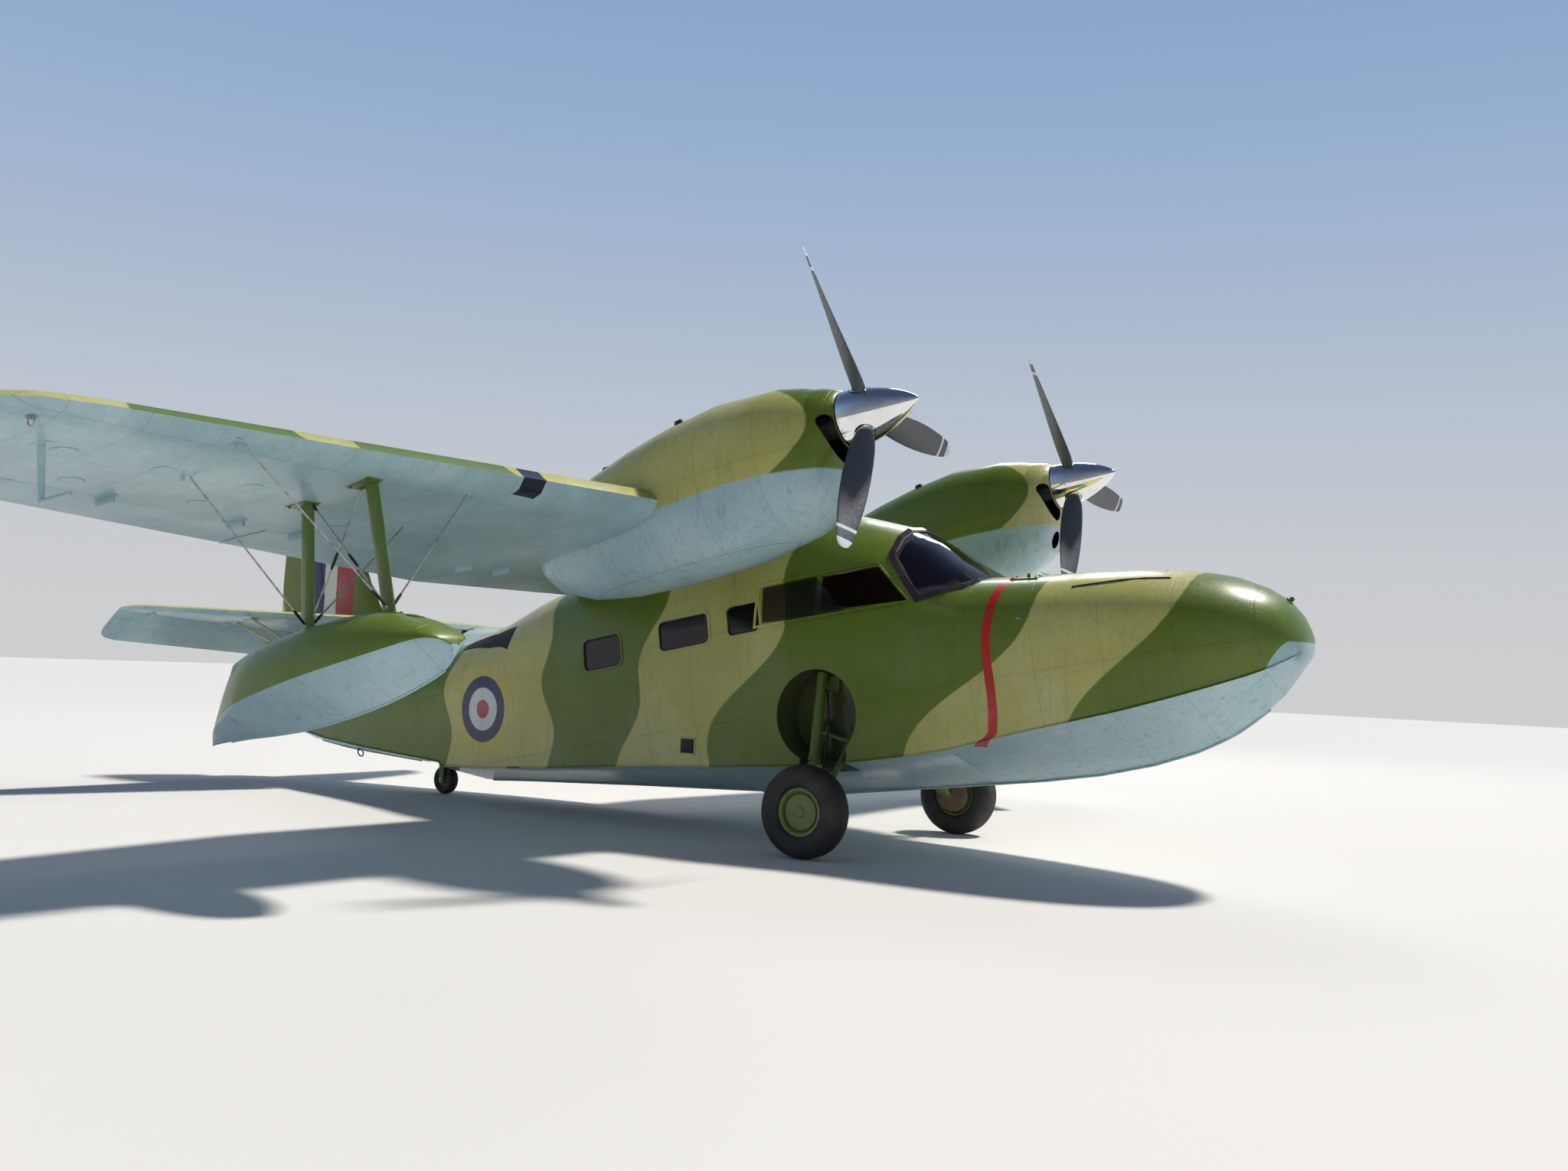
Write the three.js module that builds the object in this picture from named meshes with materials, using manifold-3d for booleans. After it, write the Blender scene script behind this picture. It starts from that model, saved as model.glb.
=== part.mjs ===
// A twin-engined amphibious flying boat of the 1940s, parked on its wheels.
// Millimetres. +X is forward, +Y is to port and +Z is up; the ground is z = 0, with the origin mid-length.
import * as THREE from "three";
import Module from "manifold-3d";

const wasm = await Module();
wasm.setup();

// Driving dimensions
const SPAN = 12190;
const NOSE_X = 4735;
const TAIL_X = -4735;
const DATUM_TILT = 11; // degrees that the hull's datum points nose-up on the ground
const THRUST_TILT = 13.7; // degrees that the propeller shafts point up on the ground
const GAP = 0.4; // between pieces that touch
const SWING = 9; // running clearance around a hinged edge

const rad = THREE.MathUtils.degToRad;
const sin = (degrees) => Math.sin(rad(degrees));
const cos = (degrees) => Math.cos(rad(degrees));
const lerp = THREE.MathUtils.lerp;

const paint = (color, roughness = 0.45, metalness = 0.1) =>
  new THREE.MeshStandardMaterial({ color, roughness, metalness });
const GREEN = paint(0x6f8f2f);
const TAN = paint(0xc6bf74);
const SKY = paint(0xa9d6dc);
const CHROME = paint(0xe8e8ea, 0.08, 1);
const BLADE = paint(0x55565a, 0.5, 0.3);
const RUBBER = paint(0x1b1b1c, 0.85, 0);
const STEEL = paint(0x8f9092, 0.35, 0.8);
const GLASS = paint(0x6d6a72, 0.05, 0);
const DARK = paint(0x2b2a29, 0.8, 0);
const HIDE = paint(0x4a3a30, 0.7, 0);

// Solids

// A manifold solid from a list of points and triangles, turned to face out.
function solid(points, triangles) {
  let volume = 0;
  for (const corners of triangles) {
    const [p, q, r] = corners.map((index) => new THREE.Vector3(...points[index]));
    volume += p.dot(q.cross(r));
  }
  const facing = volume < 0 ? triangles.map(([a, b, c]) => [a, c, b]) : triangles;
  return new wasm.Manifold(
    new wasm.Mesh({
      numProp: 3,
      vertProperties: new Float32Array(points.flat()),
      triVerts: new Uint32Array(facing.flat()),
    }),
  );
}

// A solid through rings of equally many points; each end is closed by a fan about its middle.
function loft(rings) {
  const count = rings[0].length;
  const points = rings.flat();
  const triangles = [];
  for (let ring = 0; ring + 1 < rings.length; ring++) {
    for (let i = 0; i < count; i++) {
      const a = ring * count + i;
      const b = ring * count + ((i + 1) % count);
      triangles.push([a, b, b + count], [a, b + count, a + count]);
    }
  }
  for (const [ring, start] of [[0, 0], [rings.length - 1, (rings.length - 1) * count]]) {
    const middle = [0, 1, 2].map((k) => rings[ring].reduce((sum, p) => sum + p[k], 0) / count);
    points.push(middle);
    for (let i = 0; i < count; i++) {
      const a = start + i;
      const b = start + ((i + 1) % count);
      triangles.push(ring === 0 ? [b, a, points.length - 1] : [a, b, points.length - 1]);
    }
  }
  return solid(points, triangles);
}

// A three.js geometry, placed by a matrix, as a solid.
function fromGeometry(geometry, matrix = new THREE.Matrix4()) {
  const flat = (geometry.index ? geometry.toNonIndexed() : geometry.clone()).applyMatrix4(matrix);
  const keys = new Map();
  const points = [];
  const corners = [];
  const position = flat.getAttribute("position");
  for (let i = 0; i < position.count; i++) {
    const p = [position.getX(i), position.getY(i), position.getZ(i)];
    const key = p.map((v) => Math.round(v * 1000)).join();
    if (!keys.has(key)) {
      keys.set(key, points.length);
      points.push(p);
    }
    corners.push(keys.get(key));
  }
  const triangles = [];
  for (let i = 0; i < corners.length; i += 3) {
    const [a, b, c] = corners.slice(i, i + 3);
    if (a !== b && b !== c && a !== c) triangles.push([a, b, c]);
  }
  return solid(points, triangles);
}

const at = (x, y, z) => new THREE.Matrix4().makeTranslation(x, y, z);

// A box between two corners.
function box([x0, y0, z0], [x1, y1, z1]) {
  const size = new THREE.BoxGeometry(x1 - x0, y1 - y0, z1 - z0);
  return fromGeometry(size, at((x0 + x1) / 2, (y0 + y1) / 2, (z0 + z1) / 2));
}

// A round bar between two points; it may taper.
function rod(from, to, r0, r1 = r0, sides = 12) {
  const a = new THREE.Vector3(...from);
  const b = new THREE.Vector3(...to);
  const turn = new THREE.Quaternion().setFromUnitVectors(
    new THREE.Vector3(0, 1, 0),
    b.clone().sub(a).normalize(),
  );
  const matrix = new THREE.Matrix4().compose(a.clone().lerp(b, 0.5), turn, new THREE.Vector3(1, 1, 1));
  return fromGeometry(new THREE.CylinderGeometry(r1, r0, a.distanceTo(b), sides), matrix);
}

// A solid of revolution about a line along Y through x, z, from [radius, y] points.
function turned(profile, [x, y, z], sides = 32) {
  const points = profile.map(([r, along]) => new THREE.Vector2(r, along));
  return fromGeometry(new THREE.LatheGeometry(points, sides), at(x, y, z));
}

// A prism along Y from a side-view outline of [x, z] points.
const prismY = (outline, y0, y1) => loft([y0, y1].map((y) => outline.map(([x, z]) => [x, y, z])));

// A rectangle with round corners in side view, tilted like the hull's datum.
function windowOutline(x, z, width, height, radius, steps = 3) {
  const outline = [];
  for (const [sx, sz, start] of [[1, 1, 0], [-1, 1, 90], [-1, -1, 180], [1, -1, 270]]) {
    for (let i = 0; i <= steps; i++) {
      const a = start + (90 * i) / steps;
      const u = sx * (width / 2 - radius) + radius * cos(a);
      const v = sz * (height / 2 - radius) + radius * sin(a);
      outline.push([
        x + u * cos(DATUM_TILT) - v * sin(DATUM_TILT),
        z + u * sin(DATUM_TILT) + v * cos(DATUM_TILT),
      ]);
    }
  }
  return outline;
}

const join = (solids) => solids.reduce((sum, s) => sum.add(s));
const less = (body, ...cutters) => cutters.reduce((rest, c) => rest.subtract(c), body);
const mirrored = (s) => s.mirror([0, 1, 0]);
const bothSides = (half) => half.add(mirrored(half));
const SIDES = [["port", (s) => s], ["starboard", mirrored]];

// A straight-line reading of column `column` of a table that is sorted by its first column.
function read(table, x, column) {
  const rows = table[0][0] < table[table.length - 1][0] ? table : [...table].reverse();
  if (x <= rows[0][0]) return rows[0][column];
  for (let i = 0; i + 1 < rows.length; i++) {
    const [a, b] = [rows[i], rows[i + 1]];
    if (x <= b[0]) return lerp(a[column], b[column], (x - a[0]) / (b[0] - a[0]));
  }
  return rows[rows.length - 1][column];
}

const model = new THREE.Group();

// Adds a solid to the model as the named mesh.
function piece(name, body, material) {
  const mesh = body.getMesh();
  const geometry = new THREE.BufferGeometry();
  const position = new Float32Array(mesh.numVert * 3);
  for (let i = 0; i < mesh.numVert; i++) {
    position.set(mesh.vertProperties.subarray(i * mesh.numProp, i * mesh.numProp + 3), i * 3);
  }
  geometry.setAttribute("position", new THREE.BufferAttribute(position, 3));
  geometry.setIndex(new THREE.BufferAttribute(new Uint32Array(mesh.triVerts), 1));
  geometry.computeVertexNormals();
  const made = new THREE.Mesh(geometry, material);
  made.name = name;
  model.add(made);
}

// Hull

// x, keel z, chine half-width, chine z, widest half-width, its z, deck z, squareness of the deck's curve
const HULL = [
  [NOSE_X, 1436, 70, 1462, 80, 1492, 1528, 2.0],
  [4718, 1385, 160, 1436, 176, 1495, 1590, 2.0],
  [4670, 1300, 255, 1396, 276, 1500, 1682, 2.0],
  [4590, 1185, 350, 1342, 378, 1500, 1768, 2.1],
  [4470, 1060, 442, 1284, 474, 1495, 1838, 2.2],
  [4290, 920, 532, 1214, 566, 1485, 1902, 2.3],
  [4070, 805, 602, 1136, 634, 1465, 1938, 2.4],
  [3790, 704, 656, 1046, 686, 1435, 1942, 2.5],
  [3440, 614, 702, 950, 726, 1395, 1926, 2.6],
  [3050, 545, 734, 843, 750, 1360, 1902, 2.6],
  [2700, 497, 750, 742, 762, 1330, 1882, 2.6],
  [2450, 463, 758, 688, 768, 1330, 2012, 2.3],
  [2260, 437, 762, 655, 770, 1330, 2130, 2.3],
  [2070, 412, 763, 624, 770, 1320, 2228, 2.3],
  [1720, 365, 763, 576, 770, 1300, 2302, 2.4],
  [1460, 330, 763, 546, 768, 1280, 2350, 2.5],
  [900, 258, 760, 500, 764, 1230, 2352, 2.5],
  [860, 300, 757, 498, 762, 1226, 2345, 2.5],
  [300, 276, 745, 464, 752, 1170, 2200, 2.5],
  [-400, 246, 715, 400, 722, 1090, 1960, 2.5],
  [-1000, 216, 664, 348, 672, 1010, 1752, 2.4],
  [-1150, 209, 650, 336, 658, 990, 1690, 2.4],
  [-1520, 190, 606, 312, 614, 940, 1512, 2.3],
  [-1960, 162, 546, 290, 556, 880, 1345, 2.3],
  [-2000, 228, 540, 322, 550, 875, 1332, 2.3],
  [-2500, 250, 464, 340, 474, 790, 1196, 2.3],
  [-3100, 282, 372, 368, 380, 730, 1108, 2.2],
  [-3700, 318, 268, 400, 276, 700, 1048, 2.2],
  [-4150, 372, 178, 450, 186, 700, 1006, 2.1],
  [-4400, 560, 104, 610, 110, 760, 985, 2.0],
  [-4520, 760, 52, 780, 56, 850, 960, 2.0],
];
const RAIL = 14; // the spray rail's lip outside the chine
const DECK_STEPS = 7;

// Half of a hull section, keel to crown, as [half-width, z], drawn in by a wall's thickness.
function halfSection(x, wall = 0) {
  const columns = [1, 2, 3, 4, 5, 6, 7];
  const [keel, chineY, chineZ, sideY, sideZ, deck, square] = columns.map((k) => read(HULL, x, k));
  const half = [
    [0, keel + wall],
    [chineY + (wall ? -wall : RAIL), chineZ + wall * 0.5],
    [chineY - wall, chineZ + 16 + wall * 0.5],
    [lerp(chineY, sideY, 0.7) - wall, lerp(chineZ, sideZ, 0.45)],
    [sideY - wall, sideZ],
  ];
  for (let i = 1; i <= DECK_STEPS; i++) {
    const a = (90 * i) / DECK_STEPS;
    const y = (sideY - wall) * Math.pow(Math.max(cos(a), 0), 2 / square);
    const z = sideZ + (deck - wall - sideZ) * Math.pow(sin(a), 2 / square);
    half.push([i === DECK_STEPS ? 0 : y, z]);
  }
  return half;
}

// The whole ring of a hull section.
function section(x, wall = 0) {
  const half = halfSection(x, wall);
  const port = half.map(([y, z]) => [x, y, z]);
  const starboard = half.slice(1, -1).reverse().map(([y, z]) => [x, -y, z]);
  return [...port, ...starboard];
}

// The hull's stations between two cuts.
function stations(front, back) {
  const inside = HULL.map((row) => row[0]).filter((x) => x < front - 1 && x > back + 1);
  return [front, ...inside, back];
}

const hullLoft = (front, back, wall = 0) => loft(stations(front, back).map((x) => section(x, wall)));

// Lifting surfaces: the wing, the tailplane and the fin

const CAMBER = 0.02;
const AIRFOIL_STEPS = 9;
const LEAST_THICKNESS = 0.025; // of the thickness ratio, at the trailing edge

// Half-thickness of the section at a fraction of its chord, for a thickness ratio of one.
const halfThickness = (c) =>
  5 * (0.2969 * Math.sqrt(c) - 0.126 * c - 0.3516 * c * c + 0.2843 * c ** 3 - 0.1036 * c ** 4);

// A lifting surface from a table of
//   span station, leading edge x, leading edge height, chord, thickness ratio, chord angle below level
// Wings run out along +Y; a fin runs up along +Z and has its height as the station.
function surface(table, { upright = false, camber = 0 } = {}) {
  const values = (s) => {
    const [x, z, chord, ratio, angle] = [1, 2, 3, 4, 5].map((k) => read(table, s, k));
    return { x, z, chord, ratio, angle };
  };
  const rise = (c) => 4 * camber * c * (1 - c);
  const depth = (c) => Math.max(halfThickness(Math.min(Math.max(c, 0), 1)), LEAST_THICKNESS);
  // a place `aft` behind the leading edge and `out` above the chord line, in millimetres
  const place = (s, aft, out) => {
    const w = values(s);
    if (upright) return [w.x - aft, out, s];
    return [w.x - aft * cos(w.angle) - out * sin(w.angle), s, w.z - aft * sin(w.angle) + out * cos(w.angle)];
  };
  const ring = (s, grow = 0) => {
    const w = values(s);
    const made = [];
    for (let i = -AIRFOIL_STEPS; i < AIRFOIL_STEPS; i++) {
      const c = (1 + cos((180 * i) / AIRFOIL_STEPS)) / 2;
      const side = i < 0 ? 1 : -1;
      const aft = c * w.chord + (c - 0.5) * 2 * grow;
      const half = w.ratio * (i === -AIRFOIL_STEPS ? 0 : depth(c)) * w.chord + grow;
      made.push(place(s, aft, rise(c) * w.chord + side * (i === -AIRFOIL_STEPS || i === 0 ? 0 : half)));
    }
    return made;
  };
  const between = (s0, s1) => [s0, ...table.map((row) => row[0]).filter((s) => s > s0 + 1 && s < s1 - 1), s1];
  // the hinge's place on a section: at a fraction of the chord, or at a given x
  const hingeAft = (s, hinge) => {
    const w = values(s);
    return typeof hinge === "function" ? (w.x - hinge(s)) / (upright ? 1 : cos(w.angle)) : hinge * w.chord;
  };
  const hingePoint = (s, hinge) => {
    const aft = hingeAft(s, hinge);
    return place(s, aft, rise(aft / values(s).chord) * values(s).chord);
  };
  return {
    loft: (s0, s1, grow = 0) => loft(between(s0, s1).map((s) => ring(s, grow))),
    hingePoint,
    // the space behind a hinge line, with a round front of the surface's own half-thickness and a bit more
    behind: (s0, s1, hinge, extra = 0) =>
      loft(
        between(s0, s1).map((s) => {
          const w = values(s);
          const aft = hingeAft(s, hinge);
          const mid = rise(aft / w.chord) * w.chord;
          const r = w.ratio * depth(aft / w.chord) * w.chord + extra;
          const made = [];
          for (let i = 0; i <= 8; i++) {
            const a = 90 - (180 * i) / 8;
            made.push(place(s, aft - r * cos(a), mid + r * sin(a)));
          }
          made.push(place(s, aft + 1500, mid - 400), place(s, aft + 1500, mid + 400));
          return made;
        }),
      ),
  };
}

// Wing

const CHORD = 2130;
const PANEL_Y = 2085; // where the outer panels are bolted on
const TIP_Y = SPAN / 2;
const LE_X = 1450;
const LE_Z = 2212;
const leadingEdge = (y) => LE_X - y * Math.tan(rad(3.6));

// span station, leading edge x, leading edge z, chord, thickness ratio, chord angle
const WING = [
  [0, leadingEdge(0), LE_Z, CHORD, 0.155, 14],
  [PANEL_Y, leadingEdge(PANEL_Y), LE_Z, CHORD, 0.15, 14],
  [5600, leadingEdge(5600), LE_Z, 1437, 0.11, 12.4],
  [5870, leadingEdge(5870) - 30, LE_Z - 6, 1330, 0.105, 12.2],
  [6010, leadingEdge(6010) - 95, LE_Z - 20, 1170, 0.1, 12.1],
  [6075, leadingEdge(6075) - 180, LE_Z - 38, 950, 0.09, 12],
  [TIP_Y, leadingEdge(TIP_Y) - 290, LE_Z - 62, 660, 0.05, 12],
];
const wing = surface(WING, { camber: CAMBER });
const HINGE = 0.76; // chord fraction of the flaps' and ailerons' hinges

// name, inner y, outer y
const SURFACES = [
  ["flap_inner", 810, PANEL_Y - 20],
  ["flap_outer", PANEL_Y + 20, 3800],
  ["aileron", 3840, 5800],
];
const SIDE_GAP = 8; // at the ends of a hinged surface

// Hinge pins on the fixed ribs at the two ends of a moving surface, and the bores they turn in
const PIN = { radius: 8, bore: 8.7, root: 4, reach: 30 };
function hingePins(lifting, s0, s1, hinge) {
  const ends = [s0, s1].map((s) => new THREE.Vector3(...lifting.hingePoint(s, hinge)));
  const along = ends[1].clone().sub(ends[0]).normalize();
  const bars = (reach, radius, sides) =>
    join([[ends[0], 1], [ends[1], -1]].map(([end, inward]) => {
      const [from, to] = [-SIDE_GAP - PIN.root, reach].map((distance) =>
        end.clone().addScaledVector(along, inward * distance).toArray(),
      );
      return rod(from, to, radius, radius, sides);
    }));
  return { pins: bars(PIN.reach, PIN.radius, 8), bores: bars(PIN.reach + GAP, PIN.bore, 12) };
}

const wingCore = bothSides(wing.loft(0, PANEL_Y - GAP));
const wingGrown = bothSides(wing.loft(0, PANEL_Y, GAP));
const outerPanel = wing.loft(PANEL_Y + GAP, TIP_Y);

const coves = SURFACES.map(([, y0, y1]) => wing.behind(y0 - SIDE_GAP, y1 + SIDE_GAP, HINGE, SWING));
const hinges = SURFACES.map(([, y0, y1]) => hingePins(wing, y0, y1, HINGE));
piece("wing_center", less(wingCore, bothSides(coves[0])).add(bothSides(hinges[0].pins)), SKY);
const outer = less(outerPanel, coves[1], coves[2]).add(hinges[1].pins).add(hinges[2].pins);
for (const [side, turn] of SIDES) piece("wing_" + side, turn(outer), SKY);
SURFACES.forEach(([name, y0, y1], i) => {
  const moving = wing.loft(y0, y1).intersect(wing.behind(y0 - 1, y1 + 1, HINGE));
  for (const [side, turn] of SIDES) piece(name + "_" + side, turn(less(moving, hinges[i].bores)), SKY);
});

// Tail

const STAB_HINGE_X = -3870;
const ELEVATOR = 400;
const STAB_Y = 2250;
const stabChord = (x) => (x - STAB_HINGE_X) / cos(DATUM_TILT) + ELEVATOR;

// span station, leading edge x, leading edge z, chord, thickness ratio, chord angle
const STABILIZER = [
  [40, -3112, 1484, stabChord(-3112), 0.09, DATUM_TILT],
  [2060, -3690, 1484, stabChord(-3690), 0.1, DATUM_TILT],
  [2170, -3745, 1478, stabChord(-3745) - 25, 0.09, DATUM_TILT],
  [2225, -3800, 1466, stabChord(-3800) - 75, 0.08, DATUM_TILT],
  [STAB_Y, -3860, 1450, stabChord(-3860) - 150, 0.05, DATUM_TILT],
];
const stabilizer = surface(STABILIZER);
const stabHinge = () => STAB_HINGE_X;

// height, leading edge x, unused, chord, thickness ratio, unused
const finRow = (z, front, back, ratio) => [z, front, 0, front - back, ratio, 0];
const FIN = [
  finRow(940, -2450, -4640, 0.04),
  finRow(1130, -2740, -4672, 0.05),
  finRow(1250, -3030, -4690, 0.058),
  finRow(1400, -3230, -4712, 0.068),
  finRow(1600, -3385, -4728, 0.08),
  finRow(1800, -3520, TAIL_X, 0.088),
  finRow(2050, -3645, -4722, 0.09),
  finRow(2300, -3770, -4680, 0.09),
  finRow(2430, -3870, -4620, 0.085),
  finRow(2500, -4010, -4520, 0.06),
  finRow(2525, -4130, -4420, 0.03),
];
const FIN_BASE = FIN[0][0];
const FIN_TOP = FIN[FIN.length - 1][0];
const RUDDER_FOOT = 1032;
const RUDDER_HINGE_X = -3995; // at the foot
const rudderHinge = (z) => RUDDER_HINGE_X - (z - RUDDER_FOOT) * Math.tan(rad(DATUM_TILT));
const fin = surface(FIN, { upright: true });

const hullTailGrown = hullLoft(-2400, -4520, -GAP);
const rudderCove = fin.behind(FIN_BASE, FIN_TOP + 30, rudderHinge, SWING);
const finBody = less(fin.loft(FIN_BASE, FIN_TOP), rudderCove, hullTailGrown);
const rudderBody = fin
  .loft(RUDDER_FOOT, FIN_TOP)
  .intersect(fin.behind(RUDDER_FOOT - 1, FIN_TOP + 1, rudderHinge));

// The rudder stands on a pin in the hull's deck, and the elevators turn on stub shafts from the fin.
const SHAFT = { radius: 10, bore: 10.7, reach: 30, root: 45 };
const hingeRod = (lifting, from, to, hinge, radius, sides) =>
  rod(lifting.hingePoint(from, hinge), lifting.hingePoint(to, hinge), radius, radius, sides);
const rudderPin = (reach, radius, sides) =>
  hingeRod(fin, RUDDER_FOOT - SHAFT.root, RUDDER_FOOT + reach, rudderHinge, radius, sides);
const deckPin = rudderPin(SHAFT.reach, SHAFT.radius, 10);
const rudderBore = rudderPin(SHAFT.reach + GAP, SHAFT.bore, 14);
const elevatorShaft = (outer, radius, sides) => hingeRod(stabilizer, ROOT_Y, outer, stabHinge, radius, sides);
const SHAFT_Y = 150;
const ROOT_Y = 40;
piece("fin", finBody.add(bothSides(elevatorShaft(SHAFT_Y, SHAFT.radius, 10))), GREEN);
piece("rudder", less(rudderBody, rudderBore), TAN);

// The tailplane's root follows the fin's side, and its hinged half is cut slanting to let the rudder swing.
const finSide = fin.loft(FIN_BASE, FIN_TOP, GAP);
const elevatorCove = stabilizer.behind(ROOT_Y, STAB_Y + 1, stabHinge, SWING);
const tailplane = less(stabilizer.loft(ROOT_Y, STAB_Y), elevatorCove, finSide);
const rudderRoom = loft(
  [1000, 1700].map((z) => [
    [-3700, 0, z],
    [-3700, 112, z],
    [-3880, 118, z],
    [-4500, 400, z],
    [-4500, 0, z],
  ]),
);
const elevatorBody = less(
  stabilizer.loft(ROOT_Y, STAB_Y).intersect(stabilizer.behind(ROOT_Y, STAB_Y + 1, stabHinge)),
  rudderRoom,
);
const ELEVATOR_DROOP = 28;
const hingeIn = new THREE.Vector3(...stabilizer.hingePoint(200, stabHinge));
const hingeOut = new THREE.Vector3(...stabilizer.hingePoint(2000, stabHinge));
const hingeAxis = hingeOut.clone().sub(hingeIn).normalize();
const droop = at(...hingeIn)
  .multiply(new THREE.Matrix4().makeRotationAxis(hingeAxis, -rad(ELEVATOR_DROOP)))
  .multiply(at(...hingeIn.clone().negate()));
const elevator = less(elevatorBody.transform(droop.elements), elevatorShaft(SHAFT_Y + GAP, SHAFT.bore, 14));
for (const [side, turn] of SIDES) {
  piece("tailplane_" + side, turn(tailplane), SKY);
  piece("elevator_" + side, turn(elevator), SKY);
}

// A streamlined strut between two points: an oval section, long along X.
function strut(from, to, chord, thick) {
  return loft(
    [from, to].map(([x, y, z]) =>
      Array.from({ length: 12 }, (_, i) => [x + (chord / 2) * cos(30 * i), y + (thick / 2) * sin(30 * i), z]),
    ),
  );
}

// Tailplane struts: a V each side, from the hull's shoulder to the front and rear spars
const TAIL_STRUT_FOOT = [-3480, 250, 905];
const tailStrut = less(
  join([
    strut(TAIL_STRUT_FOOT, [-3565, 1290, 1452], 62, 26),
    strut(TAIL_STRUT_FOOT, [-3770, 1290, 1412], 62, 26),
  ]),
  hullTailGrown,
  stabilizer.loft(900, 1700, GAP),
);
for (const [side, turn] of SIDES) piece("tail_strut_" + side, turn(tailStrut), GREEN);

// Hull shells

const WALL = 45;
const BOW_X = 2700; // bulkhead between bow and cabin
const AFT_X = -1150; // bulkhead behind the cabin
const CABIN = { front: 2600, back: -1060 };
const floorZ = (x) => 430 + (x + 1000) * 0.16;
const ceilingUnderWing = bothSides(wing.loft(0, 900, 32));

// Side openings: name, centre x, centre z, width, height, corner radius
const WINDOWS = [
  ["aft", -190, 1265, 365, 235, 45],
  ["middle", 567, 1433, 445, 215, 45],
  ["front", 1080, 1540, 270, 205, 40],
];
const PILOT_OPENING = [[1682, 1600], [2335, 1690], [2062, 1922], [1650, 1842]];
const WINDSHIELD = [
  [2402, 1712],
  [2640, 1800],
  [2700, 1868],
  [2716, 1960],
  [2420, 2200],
  [2080, 2320],
  [2085, 2230],
  [2140, 1985],
];
const DOOR = ["door", -700, 970, 560, 700, 70];

// An outline pulled in on all sides by a gap, toward its middle.
function inset(outline, gap) {
  const mid = [0, 1].map((k) => outline.reduce((sum, p) => sum + p[k], 0) / outline.length);
  return outline.map(([x, z]) => {
    const reach = Math.hypot(x - mid[0], z - mid[1]);
    return [x, z].map((v, k) => mid[k] + (v - mid[k]) * (1 - gap / reach));
  });
}

// Main wheel wells: a round recess in each side, open at the bottom for the leg
const WELL = { x: 1715, z: 905, radius: 312, inner: 505, outer: 900 };
const wellCup = (radius, inner) =>
  turned([[0, inner], [radius, inner], [radius, WELL.outer], [0, WELL.outer]], [WELL.x, 0, WELL.z], 32);
const WELL_WALL = 28;
const wellNotch = box([1600, 560, 380], [1960, WELL.outer, 760]);
const wells = join([wellCup(WELL.radius, WELL.inner), wellNotch]);
const wellHouse = wellCup(WELL.radius + WELL_WALL, WELL.inner - WELL_WALL);

// Prisms that are cut out of the hull reach past both its sides.
const HALF_OUT = 900;
const [fore, aft] = [CABIN.front + 50, CABIN.back - 50];
const aboveWing = prismY([[1330, 2120], [aft, 1560], [aft, 2600], [1330, 2600]], -HALF_OUT, HALF_OUT);
const underFloor = [[fore, floorZ(fore)], [fore, 0], [aft, 0], [aft, floorZ(aft)]];
const belowFloor = prismY(underFloor, -HALF_OUT, HALF_OUT);
const cabinSpace = less(
  hullLoft(CABIN.front, CABIN.back, WALL),
  ceilingUnderWing,
  aboveWing,
  belowFloor,
  wellHouse,
  mirrored(wellHouse),
);

const windowCut = ([, x, z, width, height, radius], gap = 0) =>
  windowOutline(x, z, width - 2 * gap, height - 2 * gap, radius);
// a prism through the port side alone
const portPrism = (outline) => prismY(outline, 300, HALF_OUT);
const port = box([-2000, 0, 0], [4000, 1000, 3000]);
const skin = (outside, inside, front = BOW_X + 100, back = AFT_X) =>
  less(hullLoft(front, back, outside), hullLoft(front + 1, back - 1, inside));

// The door closes against a lip that the wall's inner part leaves round the doorway.
const DOOR_GAP = 10;
const DOOR_LIP = 12;
const doorThick = WALL - 10;
const doorway = skin(-20, doorThick)
  .intersect(portPrism(windowCut(DOOR, -DOOR_GAP)))
  .add(portPrism(windowCut(DOOR, DOOR_LIP)));
const cabin = less(
  hullLoft(BOW_X - GAP, AFT_X + GAP),
  cabinSpace,
  wingGrown,
  wells,
  mirrored(wells),
  ...WINDOWS.map((row) => prismY(windowCut(row), -HALF_OUT, HALF_OUT)),
  prismY(PILOT_OPENING, -HALF_OUT, HALF_OUT),
  prismY(WINDSHIELD, -HALF_OUT, HALF_OUT),
  doorway,
);
piece("hull_cabin", cabin, GREEN);
piece("cabin_door", skin(0.01, doorThick - GAP).intersect(portPrism(windowCut(DOOR))), TAN);

// Window glass, 6 mm thick and a little below the skin
const glassSkin = skin(8, 14);
for (const row of WINDOWS) {
  const pane = glassSkin.intersect(prismY(windowCut(row, GAP), -HALF_OUT, HALF_OUT)).intersect(port);
  for (const [side, turn] of SIDES) piece("window_" + row[0] + "_" + side, turn(pane), GLASS);
}
piece("windshield", skin(3, 10).intersect(prismY(inset(WINDSHIELD, 2), -HALF_OUT, HALF_OUT)), GLASS);
const pilotPane = skin(8, 14).intersect(portPrism(inset(PILOT_OPENING, 1.2)));
piece("pilot_pane_port", pilotPane, GLASS);

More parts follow.
